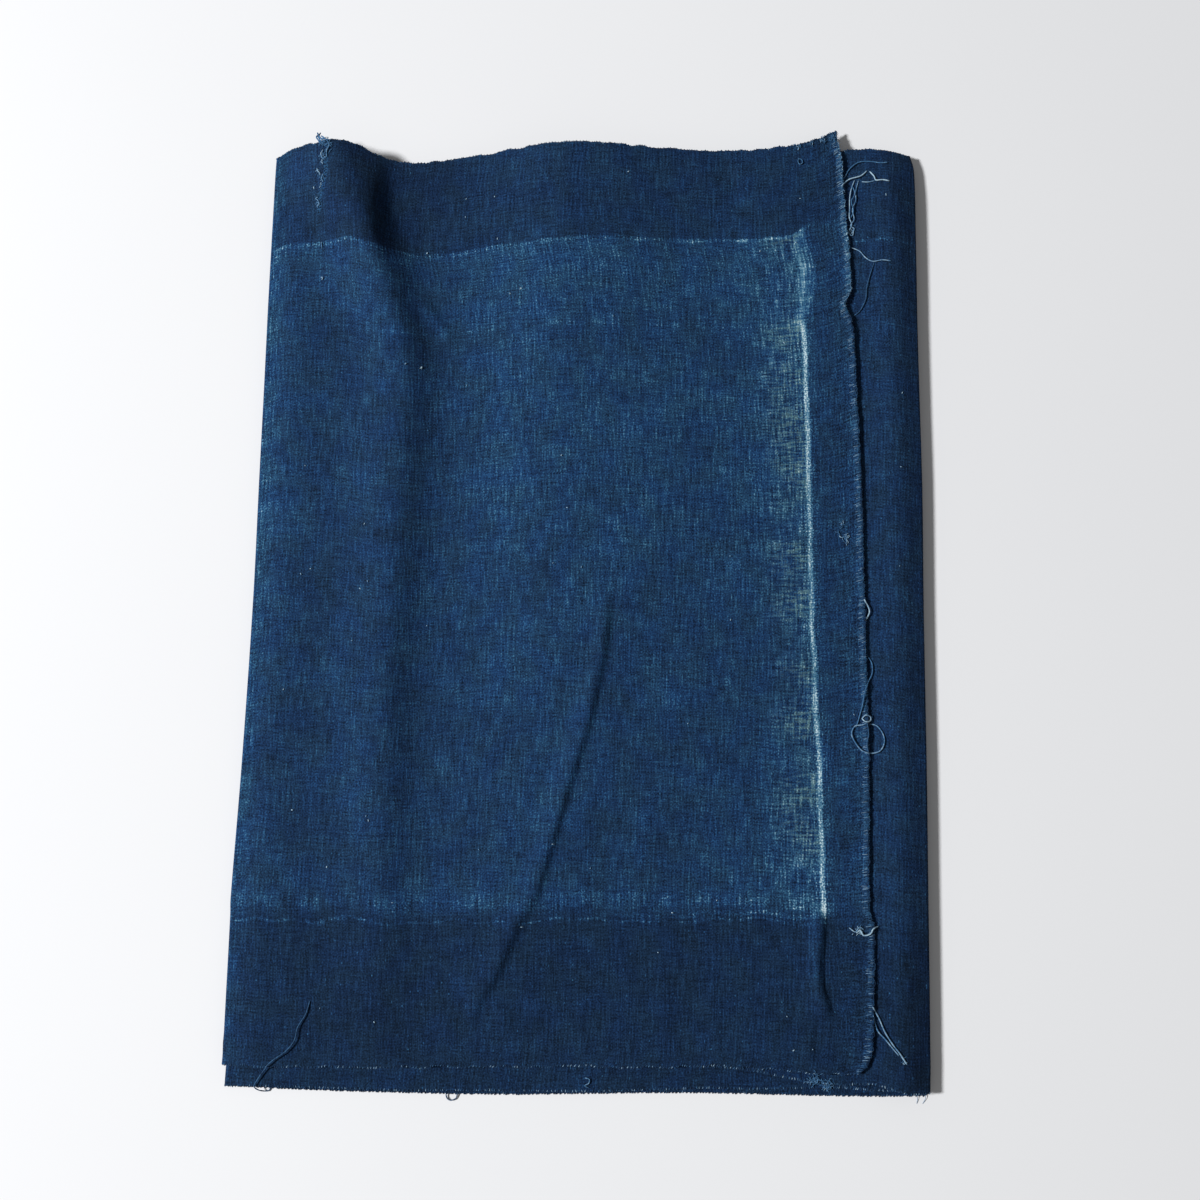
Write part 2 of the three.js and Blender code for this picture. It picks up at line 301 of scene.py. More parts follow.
@dataclass(frozen=True)
class FoldedStack:
    """The shape of the cloth: one sheet laid back and forth in four layers."""

    sheet: float = 0.5
    fold_pitch: float = 1.45
    puff: tuple[float, ...] = (1.4, 0.8, 0.3, 0.0)
    puff_reach: float = 11.0
    wave_share: tuple[float, ...] = (1.0, 0.45, 0.15, 0.0)
    wave_fade: float = 9.0
    spring_share: tuple[float, ...] = (0.0, 1.0, 0.8, 0.0)
    spring_inset: float = 8.0
    spring_reach: float = 9.0
    rumple_height: float = 0.16
    scallop: float = 0.8
    scallop_size: float = 3.5
    scallop_run: float = 0.03
    scallop_depth: int = 12
    roll_height: float = 0.35
    roll_width: float = 1.5
    roll_inset: float = 1.0
    overhang: float = 0.7
    centre: Point = Point(0.501, 6.574)

    def ends(self, layer: Layer, y: np.ndarray) -> tuple[np.ndarray, np.ndarray]:
        """Where a layer's flat run begins and ends; the arcs of the folds take up the rest.

        Args:
            layer: The layer.
            y: Heights on the page.

        Returns:
            The left and right ends at each height.
        """
        arc = (self.sheet + self.fold_pitch) / 2
        upper = layer in (Layer.TOP, Layer.SECOND)
        left = read(SIDES, "y", "upper_fold" if upper else "lower_fold", y) + arc
        if layer is Layer.TOP:
            ragged = 0.25 * rumple(0 * y, y, 4.0, 3.1) + 0.3 * rumple(0 * y, y, 11.0, 7.7)
            return left, read(SIDES, "y", "raw_edge", y) + ragged
        if layer is Layer.LOWEST:
            return left, read(SIDES, "y", "hidden_end", y)
        at_fold = math.exp(-((self.spring_inset / self.spring_reach) ** 2))
        spread = at_fold * (self.spring_share[Layer.SECOND.value] - self.spring_share[Layer.THIRD.value]) / 2
        return left, read(SIDES, "y", "right_fold", y) - arc - spread * read(SPRING, "y", "rise", y)

    @staticmethod
    def wave(rows: Sequence[Wave], x: np.ndarray, y: np.ndarray) -> np.ndarray:
        """The height of one wave, which falls off at its own pace on each side of its line."""
        away = x - read(rows, "y", "x", y)
        reach = np.where(away < 0, read(rows, "y", "left", y), read(rows, "y", "right", y))
        return read(rows, "y", "rise", y) * np.exp(-((away / reach) ** 2))

    @staticmethod
    def crease(crease: Crease, x: np.ndarray, y: np.ndarray) -> np.ndarray:
        """The height of one crease.

        Args:
            crease: The crease.
            x: Places on the page.
            y: Places on the page.

        Returns:
            Its height at each place.
        """
        nearest = np.full(np.shape(x), math.inf)
        side = np.zeros(np.shape(x))
        along = np.zeros(np.shape(x))
        gone = 0.0
        for a, b in zip(crease.path, crease.path[1:]):
            dx, dy = b.x - a.x, b.y - a.y
            length = math.hypot(dx, dy)
            t = ((x - a.x) * dx + (y - a.y) * dy) / length**2
            held = np.clip(t, 0, 1)
            away = np.hypot(x - a.x - held * dx, y - a.y - held * dy)
            closer = away < nearest
            nearest = np.where(closer, away, nearest)
            side = np.where(closer, (x - a.x) * dy - (y - a.y) * dx, side)
            along = np.where(closer, gone + t * length, along)
            gone += length
        # A path runs down the page, so its left on the page is where this product is positive.
        reach = np.where(side > 0, crease.left, crease.right)
        fade = ease(along, -crease.taper / 3, crease.taper) * ease(gone - along, -crease.taper / 3, crease.taper)
        return crease.rise * fade * np.exp(-((nearest / reach) ** 2))

    def height(self, layer: Layer, x: np.ndarray, y: np.ndarray) -> np.ndarray:
        """The height of a layer's middle, pressed flat at its folds and loose between them.

        Args:
            layer: The layer.
            x: Places on the page.
            y: Places on the page.

        Returns:
            The height at each place.
        """
        left, right = self.ends(layer, y)
        near = ease(x - left, 0, self.puff_reach)
        far = np.ones(np.shape(x)) if layer is Layer.TOP else ease(right - x, 0, self.puff_reach)
        fade = ease(x - left, 0, self.wave_fade)
        below = len(Layer) - 1 - layer.value
        z = self.sheet / 2 + below * self.fold_pitch + self.puff[layer.value] * near * far
        waves = self.wave(CREST, x, y) + self.wave(SWELL, x, y)
        z = z + self.wave_share[layer.value] * waves * fade * far
        inward = (right - x - self.spring_inset) / self.spring_reach
        spring = read(SPRING, "y", "rise", y) * np.exp(-(inward**2))
        z = z + self.spring_share[layer.value] * spring
        if layer is Layer.TOP:
            z = z + self.wave(LIFT, x, y)
            for one in CREASES:
                z = z + self.crease(one, x, y)
            z = z + self.roll_height * np.exp(-(((right - x - self.roll_inset) / self.roll_width) ** 2))
        if layer in (Layer.TOP, Layer.SECOND):
            loose = self.rumple_height * (rumple(x, y, 17.0, 1.3) + 0.5 * rumple(x, y, 7.0, 5.9))
            z = z + loose * near * far
        return z

    def run(self, layer: Layer, q: np.ndarray, v: np.ndarray) -> np.ndarray:
        """Points of a layer's middle.

        Args:
            layer: The layer.
            q: Shares of the way from its left end to its right end.
            v: Shares of the way from its lower selvedge to its upper one.

        Returns:
            An array of points, q by v by 3.
        """
        rows = SELVEDGES[layer]
        q, v = np.meshgrid(q, v, indexing="ij")
        nominal = rows[0].x + (rows[-1].x - rows[0].x) * q
        top, bottom = read(rows, "x", "top", nominal), read(rows, "x", "bottom", nominal)
        seat = nominal[:, :1]
        upper, lower = (rumple(seat, 0 * seat, self.scallop_size, seed + layer.value) for seed in (2.7, 12.7))
        wavy = self.scallop * ease(q, 0, self.scallop_run) * ease(1 - q, 0, self.scallop_run)
        at_edges = upper * v**self.scallop_depth + lower * (1 - v) ** self.scallop_depth
        y = bottom + (top - bottom) * v + wavy * at_edges
        left, right = self.ends(layer, y)
        x = left + (right - left) * q
        return np.stack([x, y, self.height(layer, x, y)], axis=-1)

    def fold(self, above: Layer, turns: np.ndarray, v: np.ndarray) -> np.ndarray:
        """Points of the fold between a layer and the next one down.

        Args:
            above: The upper layer of the two.
            turns: Shares of the way round the fold.
            v: Shares of the way from the lower selvedge to the upper one.

        Returns:
            An array of points, turns by v by 3.
        """
        at_left = above.value % 2 == 0
        q = np.array([0.0 if at_left else 1.0])
        high = self.run(above, q, v)[0]
        low = self.run(Layer(above.value + 1), q, v)[0]
        middle, radius = (high + low) / 2, (high[:, 2:] - low[:, 2:]) / 2
        out = -1.0 if at_left else 1.0
        rays = [np.array([out * math.sin(math.pi * t), 0, math.cos(math.pi * t)]) for t in turns]
        return np.stack([middle + radius * ray for ray in rays])

    def top_at(self, x: float, y: float) -> float:
        """The height of whatever layer is uppermost at a place on the page, or 0 beside the stack."""
        for layer in Layer:
            rows = SELVEDGES[layer]
            left, right = (float(end) for end in self.ends(layer, np.array(y)))
            q = np.clip((x - left) / (right - left), 0, 1)
            nominal = rows[0].x + (rows[-1].x - rows[0].x) * q
            bottom, top = read(rows, "x", "bottom", nominal), read(rows, "x", "top", nominal)
            if left - self.overhang <= x <= right and bottom <= y <= top:
                return float(self.height(layer, np.array(x), np.array(y))) + self.sheet / 2
        return 0.0

    def place(self, points: np.ndarray) -> np.ndarray:
        """Moves points of the page to the stack's own centre and turns them to metres."""
        return (points - np.array([self.centre.x, self.centre.y, 0.0])) * MM


STACK = FoldedStack()


def srgb(red: float, green: float, blue: float) -> tuple[float, float, float, float]:
    """Turns a colour as seen on a screen, 0 to 255, into the linear colour of a shader."""
    linear = [((c / 255 + 0.055) / 1.055) ** 2.4 if c > 10.3 else c / 255 / 12.92 for c in (red, green, blue)]
    return (*linear, 1.0)


def arithmetic(operation: str, swapped: bool = False) -> Callable[["Wire", "Wire | float"], "Wire"]:
    """Makes an operator of wires.

    Args:
        operation: The Math node's operation.
        swapped: Whether the wire comes after the other value.

    Returns:
        The method, which takes the other value.
    """
    def method(wire: "Wire", other: "Wire | float") -> "Wire":
        """Joins the two."""
        return wire.maths(operation, other, swapped=swapped)

    return method


class Wire:
    """A number that flows between nodes, with arithmetic."""

    __add__ = __radd__ = arithmetic("ADD")
    __sub__ = arithmetic("SUBTRACT")
    __rsub__ = arithmetic("SUBTRACT", swapped=True)
    __mul__ = __rmul__ = arithmetic("MULTIPLY")
    __truediv__ = arithmetic("DIVIDE")
    at_most = arithmetic("MINIMUM")
    at_least = arithmetic("MAXIMUM")

    def __init__(self, graph: "Graph", socket: bpy.types.NodeSocket) -> None:
        """Wraps one output socket."""
        self.graph = graph
        self.socket = socket

    def maths(self, operation: str, *others: "Wire | float", swapped: bool = False) -> "Wire":
        """Adds one Math node.

        Args:
            operation: The node's operation.
            others: Its other values.
            swapped: Whether this wire comes after the first of them.

        Returns:
            The result.
        """
        values = [self, *others]
        if swapped:
            values.reverse()
        return self.graph.wire("ShaderNodeMath", {"operation": operation}, dict(enumerate(values)))

    def floor(self) -> "Wire":
        """The whole number below this."""
        return self.maths("FLOOR")

    def fraction(self) -> "Wire":
        """What is left of this above its whole number."""
        return self.maths("FRACT")

    def size(self) -> "Wire":
        """This without its sign."""
        return self.maths("ABSOLUTE")

    def rises(self, start: float, stop: float) -> "Wire":
        """Goes smoothly from 0 where this is start to 1 where it is stop, either way round.

        Args:
            start: The value that gives 0.
            stop: The value that gives 1.

        Returns:
            The share.
        """
        settings = {"interpolation_type": "SMOOTHSTEP"}
        return self.graph.wire("ShaderNodeMapRange", settings, {0: self, 1: start, 2: stop, 3: 0.0, 4: 1.0})

    def peak(self, centre: "Wire | float", reach: float) -> "Wire":
        """1 where this equals centre, falling smoothly to 0 at a distance of reach."""
        return (self - centre).size().rises(reach, 0.0)


class Graph:
    """The node tree of one material."""

    def __init__(self, name: str) -> None:
        """Makes a material of that name with a bare surface shader."""
        self.material = bpy.data.materials.new(name)
        self.material.use_nodes = True
        self.tree = self.material.node_tree
        self.shader = self.tree.nodes["Principled BSDF"]

    def node(self, kind: str, settings: dict | None = None, sockets: dict | None = None) -> bpy.types.Node:
        """Adds a node, sets it and then feeds it.

        Args:
            kind: The node's type.
            settings: Its properties.
            sockets: Values or links of its inputs, by name or number.

        Returns:
            The node.
        """
        made = self.tree.nodes.new(kind)
        for name, value in (settings or {}).items():
            setattr(made, name, value)
        self.feed(made, sockets or {})
        return made

    def ramp(self, share: Wire, colours: Sequence[tuple[float, ...]]) -> bpy.types.NodeSocket:
        """Reads a colour off a row of colours at equal steps.

        Args:
            share: The place, from 0 to 1.
            colours: The colours.

        Returns:
            The colour.
        """
        made = self.node("ShaderNodeValToRGB", None, {0: share})
        elements = made.color_ramp.elements
        while len(elements) < len(colours):
            elements.new(1.0)
        for place, (element, colour) in enumerate(zip(elements, colours)):
            element.position = place / (len(colours) - 1)
            element.color = colour
        return made.outputs[0]

    def surface(self, colour: bpy.types.NodeSocket, roughness: float, gloss: float,
                relief: Wire | None = None, strength: float = 0.0) -> bpy.types.Material:
        """Finishes the material.

        Args:
            colour: Its colour.
            roughness: Its roughness.
            gloss: How much it reflects.
            relief: The height of its surface, in millimetres.
            strength: How strongly the relief shows.

        Returns:
            The material.
        """
        self.feed(self.shader, {"Base Color": colour, "Roughness": roughness, "Specular IOR Level": gloss})
        if relief:
            bump = self.node("ShaderNodeBump", None, {"Strength": strength, "Distance": MM, "Height": relief})
            self.feed(self.shader, {"Normal": bump.outputs[0]})
        return self.material

    def feed(self, node: bpy.types.Node, sockets: dict) -> None:
        """Sets or links inputs of a node.

        Args:
            node: The node.
            sockets: Values, wires or sockets, by the input's name or number.
        """
        for name, value in sockets.items():
            socket = node.inputs[name]
            if isinstance(value, Wire):
                self.tree.links.new(value.socket, socket)
            elif isinstance(value, bpy.types.NodeSocket):
                self.tree.links.new(value, socket)
            else:
                socket.default_value = value

    def wire(self, kind: str, settings: dict | None = None, sockets: dict | None = None) -> Wire:
        """Adds a node and wraps its first output."""
        return Wire(self, self.node(kind, settings, sockets).outputs[0])

    def pair(self, x: Wire, y: Wire, z: float = 0.0) -> Wire:
        """Puts two numbers into one vector."""
        return self.wire("ShaderNodeCombineXYZ", None, {0: x, 1: y, 2: z})

    def noise(self, x: Wire, y: Wire, seed: float, detail: float = 0.0) -> Wire:
        """Smooth noise about 0, mostly between -1 and 1.

        Args:
            x: The first coordinate, in widths of a lump.
            y: The second coordinate, in heights of a lump.
            seed: Picks one field of many.
            detail: Finer octaves on top.

        Returns:
            The noise.
        """
        vector = self.pair(x + 19.3 * seed, y - 7.7 * seed)
        sockets = {"Vector": vector, "Scale": 1.0, "Detail": detail, "Roughness": 0.55}
        return (self.wire("ShaderNodeTexNoise", {"noise_dimensions": "2D"}, sockets) - 0.5) * 4.0

    def cells(self, x: Wire, y: Wire, seed: float) -> tuple[Wire, Wire]:
        """Scattered points, one in each cell.

        Args:
            x: The first coordinate, in cells.
            y: The second coordinate, in cells.
            seed: Picks one scatter of many.

        Returns:
            The distance to the nearest point, in cells, and a random number of that cell.
        """
        sockets = {"Vector": self.pair(x + seed, y - seed), "Scale": 1.0}
        made = self.node("ShaderNodeTexVoronoi", {"voronoi_dimensions": "2D"}, sockets)
        split = self.wire("ShaderNodeSeparateColor", None, {0: made.outputs["Color"]})
        return Wire(self, made.outputs["Distance"]), split

    def blend(self, share: Wire | float, first: object, second: object, mode: str = "MIX") -> bpy.types.NodeSocket:
        """Mixes two colours.

        Args:
            share: How much of the second.
            first: A colour or a colour socket.
            second: A colour or a colour socket.
            mode: The blend type.

        Returns:
            The mixed colour.
        """
        settings = {"data_type": "RGBA", "blend_type": mode}
        return self.node("ShaderNodeMix", settings, {0: share, 6: first, 7: second}).outputs[2]

    def uv(self, name: str) -> tuple[Wire, Wire]:
        """The two coordinates of a UV map, in millimetres."""
        source = self.node("ShaderNodeUVMap", {"uv_map": name}).outputs[0]
        split = self.node("ShaderNodeSeparateXYZ", None, {0: source})
        return Wire(self, split.outputs[0]) / MM, Wire(self, split.outputs[1]) / MM


class Weave(NamedTuple):
    """The fields of the weave that the wear of the cloth follows."""

    tone: Wire
    relief: Wire
    own: Wire
    slub: Wire
    cross: Wire
    grain: Wire
    sway: Wire
    mottle: Wire


class Shade(NamedTuple):
    """A paler or, with a negative amount, darker stretch, and the ramps along and across the cloth that lead to it."""

    amount: float
    s_start: float
    s_stop: float
    t_start: float
    t_stop: float


# A ramp that starts and stops far below every place on the cloth leaves it whole.
OFF = -2000.0
ON = -1999.0
PANEL_SHADES = table(
    Shade,
    (-0.045, OFF, ON, 215.0, 120.0), (-0.02, 80.0, 20.0, OFF, ON), (0.015, OFF, ON, 262.0, 266.0),
)
# Painted shade in the valley beside the crest, deeper towards the upper selvedge.
VALLEY_PAINTED_SHADE = table(
    Shade,
    (-0.014, OFF, ON, OFF, ON), (-0.04, OFF, ON, 120.0, 190.0),
)
# The second layer: a little darker overall, darker in its border above the upper crease and towards its lower end, and
# painted shade over the last stretch before the right fold, where it curves down away from the light.
SECOND_TONES_AND_PAINTED_SHADE = table(
    Shade,
    (-0.01, OFF, ON, OFF, ON), (-0.035, OFF, ON, 262.0, 292.0), (-0.02, OFF, ON, 75.0, 20.0),
    (-0.035, -235.0, -246.0, OFF, ON),
)


@dataclass(frozen=True)
class IndigoCotton:
    """Hand-woven cotton, dyed with indigo, worn pale along its old creases.

    The cloth's own coordinates run from the left fold of the top layer towards its raw edge, positive on the top
    layer and negative on the others, and from the lower selvedge to the upper one. A third runs back from the
    raw edge.
    """

    fold_at: float = 740.0
    pitch: float = 0.56
    lower_crease: float = 49.5
    upper_crease: float = 296.6
    upper_rise: float = 2.6
    upper_hook: float = 3.3
    line_top: float = 203.2
    line_lean: float = 5.4
    line_bend: float = 2.5
    ladder: float = 34.0
    dyed: float = 0.175
    hem_dip: float = 0.052
    faded: float = 0.105
    # Painted highlight along the left fold, where it faces the light, together with its rubbed wear.
    fold_highlight_and_rub: float = 0.11
    line_wear: float = 0.48
    ladder_wear: float = 0.33
    foot_wear: float = 0.22
    # Painted highlight on the lit left flank of the ridge below the crease line.
    painted_ridge_highlight: float = 0.07
    streak_at: float = 19.4
    deep: tuple[float, ...] = srgb(10, 25, 44)
    border: tuple[float, ...] = srgb(26, 51, 85)
    panel: tuple[float, ...] = srgb(35, 73, 114)
    worn: tuple[float, ...] = srgb(58, 106, 142)
    pale: tuple[float, ...] = srgb(106, 149, 172)
    bare: tuple[float, ...] = srgb(200, 224, 234)
    bleached: tuple[float, ...] = srgb(96, 122, 108)
    cool: tuple[float, ...] = (0.84, 0.93, 1.0, 1.0)
    grey: tuple[float, ...] = (1.0, 1.0, 0.88, 1.0)

    def build(self) -> bpy.types.Material:
        """Makes the material.

        Returns:
            The material.
        """
        g = Graph("indigo_cotton")
        u, t = g.uv("cloth")
        rim = g.uv("rim")[0]
        s = u - self.fold_at
        lean = self.line_lean * t.rises(190.0, 40.0) + self.line_bend * t.rises(262.0, 284.0)
        line = self.line_top + lean + 0.3 * g.noise(t / 17, s / 300, 11.0)
        weave = self.threads(g, s, t)
        # fade holds the worn dye together with painted highlights and painted shade.
        fade, bleach = self.fading_and_painted_light(g, s, t, line, weave)
        speckle = (0.024 + 0.28 * fade.at_most(0.38)) * (1.0 - 0.45 * fade.rises(0.42, 0.75))
        tone = fade + weave.tone * speckle
        tone = tone.at_least(self.marks(g, s, t, weave)) + self.rim(rim, t, weave)
        dyes = (self.deep, self.border, self.panel, self.worn, self.pale, self.bare)
        colour = g.ramp(tone, dyes)
        patch = 0.6 * g.noise(s / 8, t / 9, 41.0) + 0.4 * weave.own
        hue = g.blend(patch.rises(-0.9, 0.9), self.cool, self.grey)
        colour = g.blend(tone.rises(0.8, 0.5), colour, g.blend(1.0, colour, hue, "MULTIPLY"))
        colour = g.blend(bleach, colour, self.bleached)
        return g.surface(colour, roughness=0.92, gloss=0.1, relief=weave.relief, strength=0.7)

    def threads(self, g: Graph, s: Wire, t: Wire) -> Weave:
        """The plain weave.

        Args:
            g: The graph.
            s: Along the cloth.
            t: Across the loom width.

        Returns:
            Its fields.
        """
        x = s / self.pitch + 0.6 * g.noise(s / 9, t / 45, 1.0)
        y = t / self.pitch + 0.6 * g.noise(s / 45, t / 9, 2.0)
        weft, warp = x.floor(), y.floor()
        parity = ((weft + warp) / 2).fraction() * 2
        round_weft, round_warp = ((at.fraction() * math.pi).maths("SINE") for at in (x, y))
        over_weft = round_weft * (0.45 + 0.55 * round_warp)
        over_warp = round_warp * (0.45 + 0.55 * round_weft)
        height = over_weft + (over_warp - over_weft) * parity
        weft_tone = g.noise(weft * 1.7, t / 12.0, 3.0)
        warp_tone = g.noise(s / 9.0, warp * 1.7, 4.0)
        own = weft_tone + (0.9 * warp_tone - weft_tone) * parity
        slub = g.noise(s / 0.75, t / 7.0, 5.0)
        cross = g.noise(s / 5.0, t / 0.75, 8.0)
        bars = g.noise(s / 20.0, t / 2.4, 24.0)
        grain = g.noise(s / 0.55, t / 0.55, 6.0)
        bright = (slub + 0.8 * grain).rises(0.55, 1.7)
        tone = 0.8 * own + 0.5 * slub + 0.45 * cross + 0.12 * bars + 1.05 * grain + 1.0 * bright
        tone = tone + 0.6 * (height - 0.6) - 0.09
        relief = 0.11 * height + 0.03 * slub + 0.02 * cross
        sway, mottle = g.noise(s / 12, t / 12, 10.0), g.noise(s / 7, t / 9, 31.0)
        return Weave(tone, relief, own, slub, cross, grain, sway, mottle)

    def fading_and_painted_light(self, g: Graph, s: Wire, t: Wire, line: Wire, weave: Weave) -> tuple[Wire, Wire]:
        """How far the dye has worn off, with painted highlights and painted shade added in.

        Args:
            g: The graph.
            s: Along the cloth.
            t: Across the loom width.
            line: The place of the white crease line along the cloth.
            weave: The fields of the weave.

        Returns:
            The wear with its painted highlights and painted shade, from 0 to 1, and how far the dye has turned to a
            greenish grey.
        """
        top = s.rises(-1.0, 1.0)
        cloud = g.noise(s / 24, t / 30, 13.0, 1.0)
        left = line - s
        away = left.size()
        above = t - self.lower_crease + 0.9 * weave.sway
        hook = self.upper_hook * s.rises(200.0, 210.0)
        crease = self.upper_crease + self.upper_rise * s.rises(60.0, 195.0) + hook
        inside = above.rises(0.5, 6.5) * (crease - t).rises(-0.5, 1.5)
        panel = inside * left.rises(-1.0, 2.0) * top
        wear_and_painted_light = self.dyed + 0.016 * cloud + 0.006 * weave.mottle - self.hem_dip * above.rises(9.0, -3.0)
        wear_and_painted_light = wear_and_painted_light + panel * (self.faded + 0.017 * cloud + 0.006 * weave.mottle)
        # The worn panel's own tones; painted shade in the valley beside the crest; and the second layer where it
        # shows, with painted shade where it curves down into the right fold.
        valley = (s - 46.0).size().rises(44.0, 20.0) * top
        second = s.rises(-212.0, -238.0) * s.rises(-262.0, -252.0)
        for part, shades in ((panel, PANEL_SHADES), (valley, VALLEY_PAINTED_SHADE), (second, SECOND_TONES_AND_PAINTED_SHADE)):
            for shade in shades:
                ramps = s.rises(shade.s_start, shade.s_stop) * t.rises(shade.t_start, shade.t_stop)
                wear_and_painted_light = wear_and_painted_light + shade.amount * part * ramps
        wear_and_painted_light = wear_and_painted_light + 0.05 * left.rises(0.0, -3.0) * inside
        # The strip that was pressed to the left of the crease line, bleached in patches and streaks.
        patches = g.noise(s / 40, t / 11, 12.0).rises(-0.4, 0.9)
        streaks = 0.5 * weave.slub + 0.6 * weave.cross
        blotches = 0.08 * patches * t.rises(56.0, 72.0) * t.rises(300.0, 262.0)
        strip = left.rises(27.0, 2.0) * (0.06 + blotches + 0.02 * t.rises(215.0, 255.0))
        strip = strip + 0.06 * left.rises(60.0, 5.0) * t.rises(120.0, 55.0)
        wear_and_painted_light = wear_and_painted_light + strip * panel * (1.0 + 0.5 * streaks).at_least(0.0)
        bleach = left.rises(20.0, 3.0) * panel * (0.15 + 0.85 * patches) * (0.5 + streaks).rises(0.2, 1.2)
        bleach = bleach * 0.42 * t.rises(58.0, 84.0)
        # The left fold, paler along its edge: painted highlight where the fold faces the light, and rubbed wear.
        wear_and_painted_light = wear_and_painted_light + self.fold_highlight_and_rub * s.size().rises(7.0, 0.0)
        # The crease line itself, a close row of bare thread tops in a thin scatter of others.
        start, foot = self.upper_crease + self.upper_rise - self.ladder, self.lower_crease + 2.5
        span = (start - t).rises(-3.0, 3.0) * (t - foot).rises(-1.0, 2.0) * top
        close = away.rises(1.5, 0.3) * (self.line_wear + 0.05 * weave.mottle + 0.03 * weave.grain)
        wear_and_painted_light = wear_and_painted_light + span * (close + away.rises(5.5, 0.5) * (0.09 + 0.05 * weave.grain))
        # Its upper end is a ladder of short bare threads, and its foot a brushed patch.
        rungs = (1.0 + 0.1 * weave.slub + 0.15 * weave.cross).at_least(0.0)
        ladder = away.rises(4.6, 0.8) * (t - start).rises(-6.0, 4.0) * inside * top
        brushed = (left - 1.0).size().rises(5.0, 0.5) * t.peak(foot + 1.0, 4.5) * top
        wear_and_painted_light = wear_and_painted_light + (self.ladder_wear * ladder + self.foot_wear * brushed) * rungs
        # Below the line runs a ridge; its left flank, turned to the light, gets a painted highlight.
        ridge = (left - 2.5).size().rises(4.5, 1.0) * above.rises(1.0, -2.0) * t.rises(22.0, 34.0) * top
        wear_and_painted_light = wear_and_painted_light + self.painted_ridge_highlight * ridge
        # The two other creases and their faint neighbours: the distance, the half width and the strength.
        ends = (left + 1.5).rises(-1.0, 1.0) * top
        middle = (s - 135.0).size().rises(38.0, 24.0)
        for gap, reach, strength in (
            (t - crease, 1.3, 0.36 * ends),
            (t - crease - 2.8, 1.0, 0.16 * s.rises(-216.0, -222.0)),
            (above, 0.9, 0.22 * ends),
            (above - 2.0, 1.6, 0.34 * ends * s.rises(110.0, 200.0)),
            (above - 6.5, 4.5, 0.09 * ends),
            (above - 8.8, 0.6, 0.15 * middle),
            (t - start, 0.8, 0.09 * ends),
        ):
            wear_and_painted_light = wear_and_painted_light + self.row(gap, reach, weave) * strength
        # The upper crease shows unbroken as it nears the line.
        unbroken = (t - crease).peak(0.0, 0.8) * (left + 4.0).rises(-1.0, 1.0) * top * s.rises(150.0, 190.0)
        return wear_and_painted_light + unbroken * (0.24 + 0.06 * weave.mottle), bleach

    @staticmethod
    def row(away: Wire, reach: float, weave: Weave) -> Wire:
        """A worn line along a layer, broken into dashes and swaying a little.

        Args:
            away: The distance from the line.
            reach: Its half width.
            weave: The fields of the weave.

        Returns:
            The line's strength.
        """
        dashes = (0.65 + 0.3 * weave.slub + 0.25 * weave.grain).at_least(0.08)
        return (away + 0.3 * weave.sway).peak(0.0, reach) * dashes * (0.4 + 0.6 * weave.mottle.rises(-0.9, 0.5))

    def marks(self, g: Graph, s: Wire, t: Wire, weave: Weave) -> Wire:
        """Pale flecks of lint and undyed fibre, and the torn streak near the upper selvedge.

        Args:
            g: The graph.
            s: Along the cloth.
            t: Across the loom width.
            weave: The fields of the weave.

        Returns:
            The tone of each.
        """
        dot, chance = g.cells(s / 2.7, t / 3.3, 3.3)
        dots = dot.rises(0.14, 0.05) * chance.rises(0.86, 1.02)
        dash, luck = g.cells(s / 2.6, t / 8.0, 8.8)
        dashes = dash.rises(0.10, 0.03) * luck.rises(0.55, 1.0)
        bend = self.streak_at + 3.4 * t.rises(311.0, 323.0)
        torn = (s - bend).size().rises(2.0, 0.5) * t.rises(306.0, 309.0)
        lower_end = (s - self.streak_at - 0.2).size().rises(0.9, 0.3) * (t - 291.0).size().rises(6.0, 2.0)
        torn = torn.at_least(lower_end) * (weave.grain + 0.5 * weave.cross).rises(-0.6, 0.6)
        return (dots * 0.56).at_least(dashes * 0.46).at_least(torn * 0.42)

    @staticmethod
    def rim(rim: Wire, t: Wire, weave: Weave) -> Wire:
        """The raw edge, rubbed pale, most of all above its notch.

        Args:
            rim: How far in from the raw edge.
            t: Across the loom width.
            weave: The fields of the weave.

        Returns:
            The tone that it adds.
        """
        ends = (1.0 + 0.9 * weave.cross).at_least(0.0)
        frizz = rim.rises(17.0, 2.0) * (weave.grain + weave.cross) * 0.03
        return rim.rises(2.6, 0.4) * (0.07 + 0.19 * t.rises(262.0, 280.0)) * ends + frizz


@dataclass(frozen=True)
class Yarn:
    """Loose cotton thread: paler than the cloth, and paler or darker from thread to thread."""

    name: str = "loose_cotton"
    dark: tuple[float, ...] = srgb(20, 42, 70)
    middle: tuple[float, ...] = srgb(62, 106, 146)
    light: tuple[float, ...] = srgb(176, 204, 218)

    def build(self) -> bpy.types.Material:
        """Makes the material, which reads each thread's own tint beside the length along it.

        Returns:
            The material.
        """
        g = Graph(self.name)
        along, tint = g.uv("thread")
        ply = g.noise(along / 0.6, tint * 3.0, 2.0, 1.0)
        worn = g.noise(along / 3.0, tint * 7.0, 5.0, 1.0)
        colour = g.ramp(tint + 0.10 * ply + 0.12 * worn, (self.dark, self.middle, self.light))
        return g.surface(colour, roughness=0.85, gloss=0.2, relief=0.05 * ply, strength=0.5)


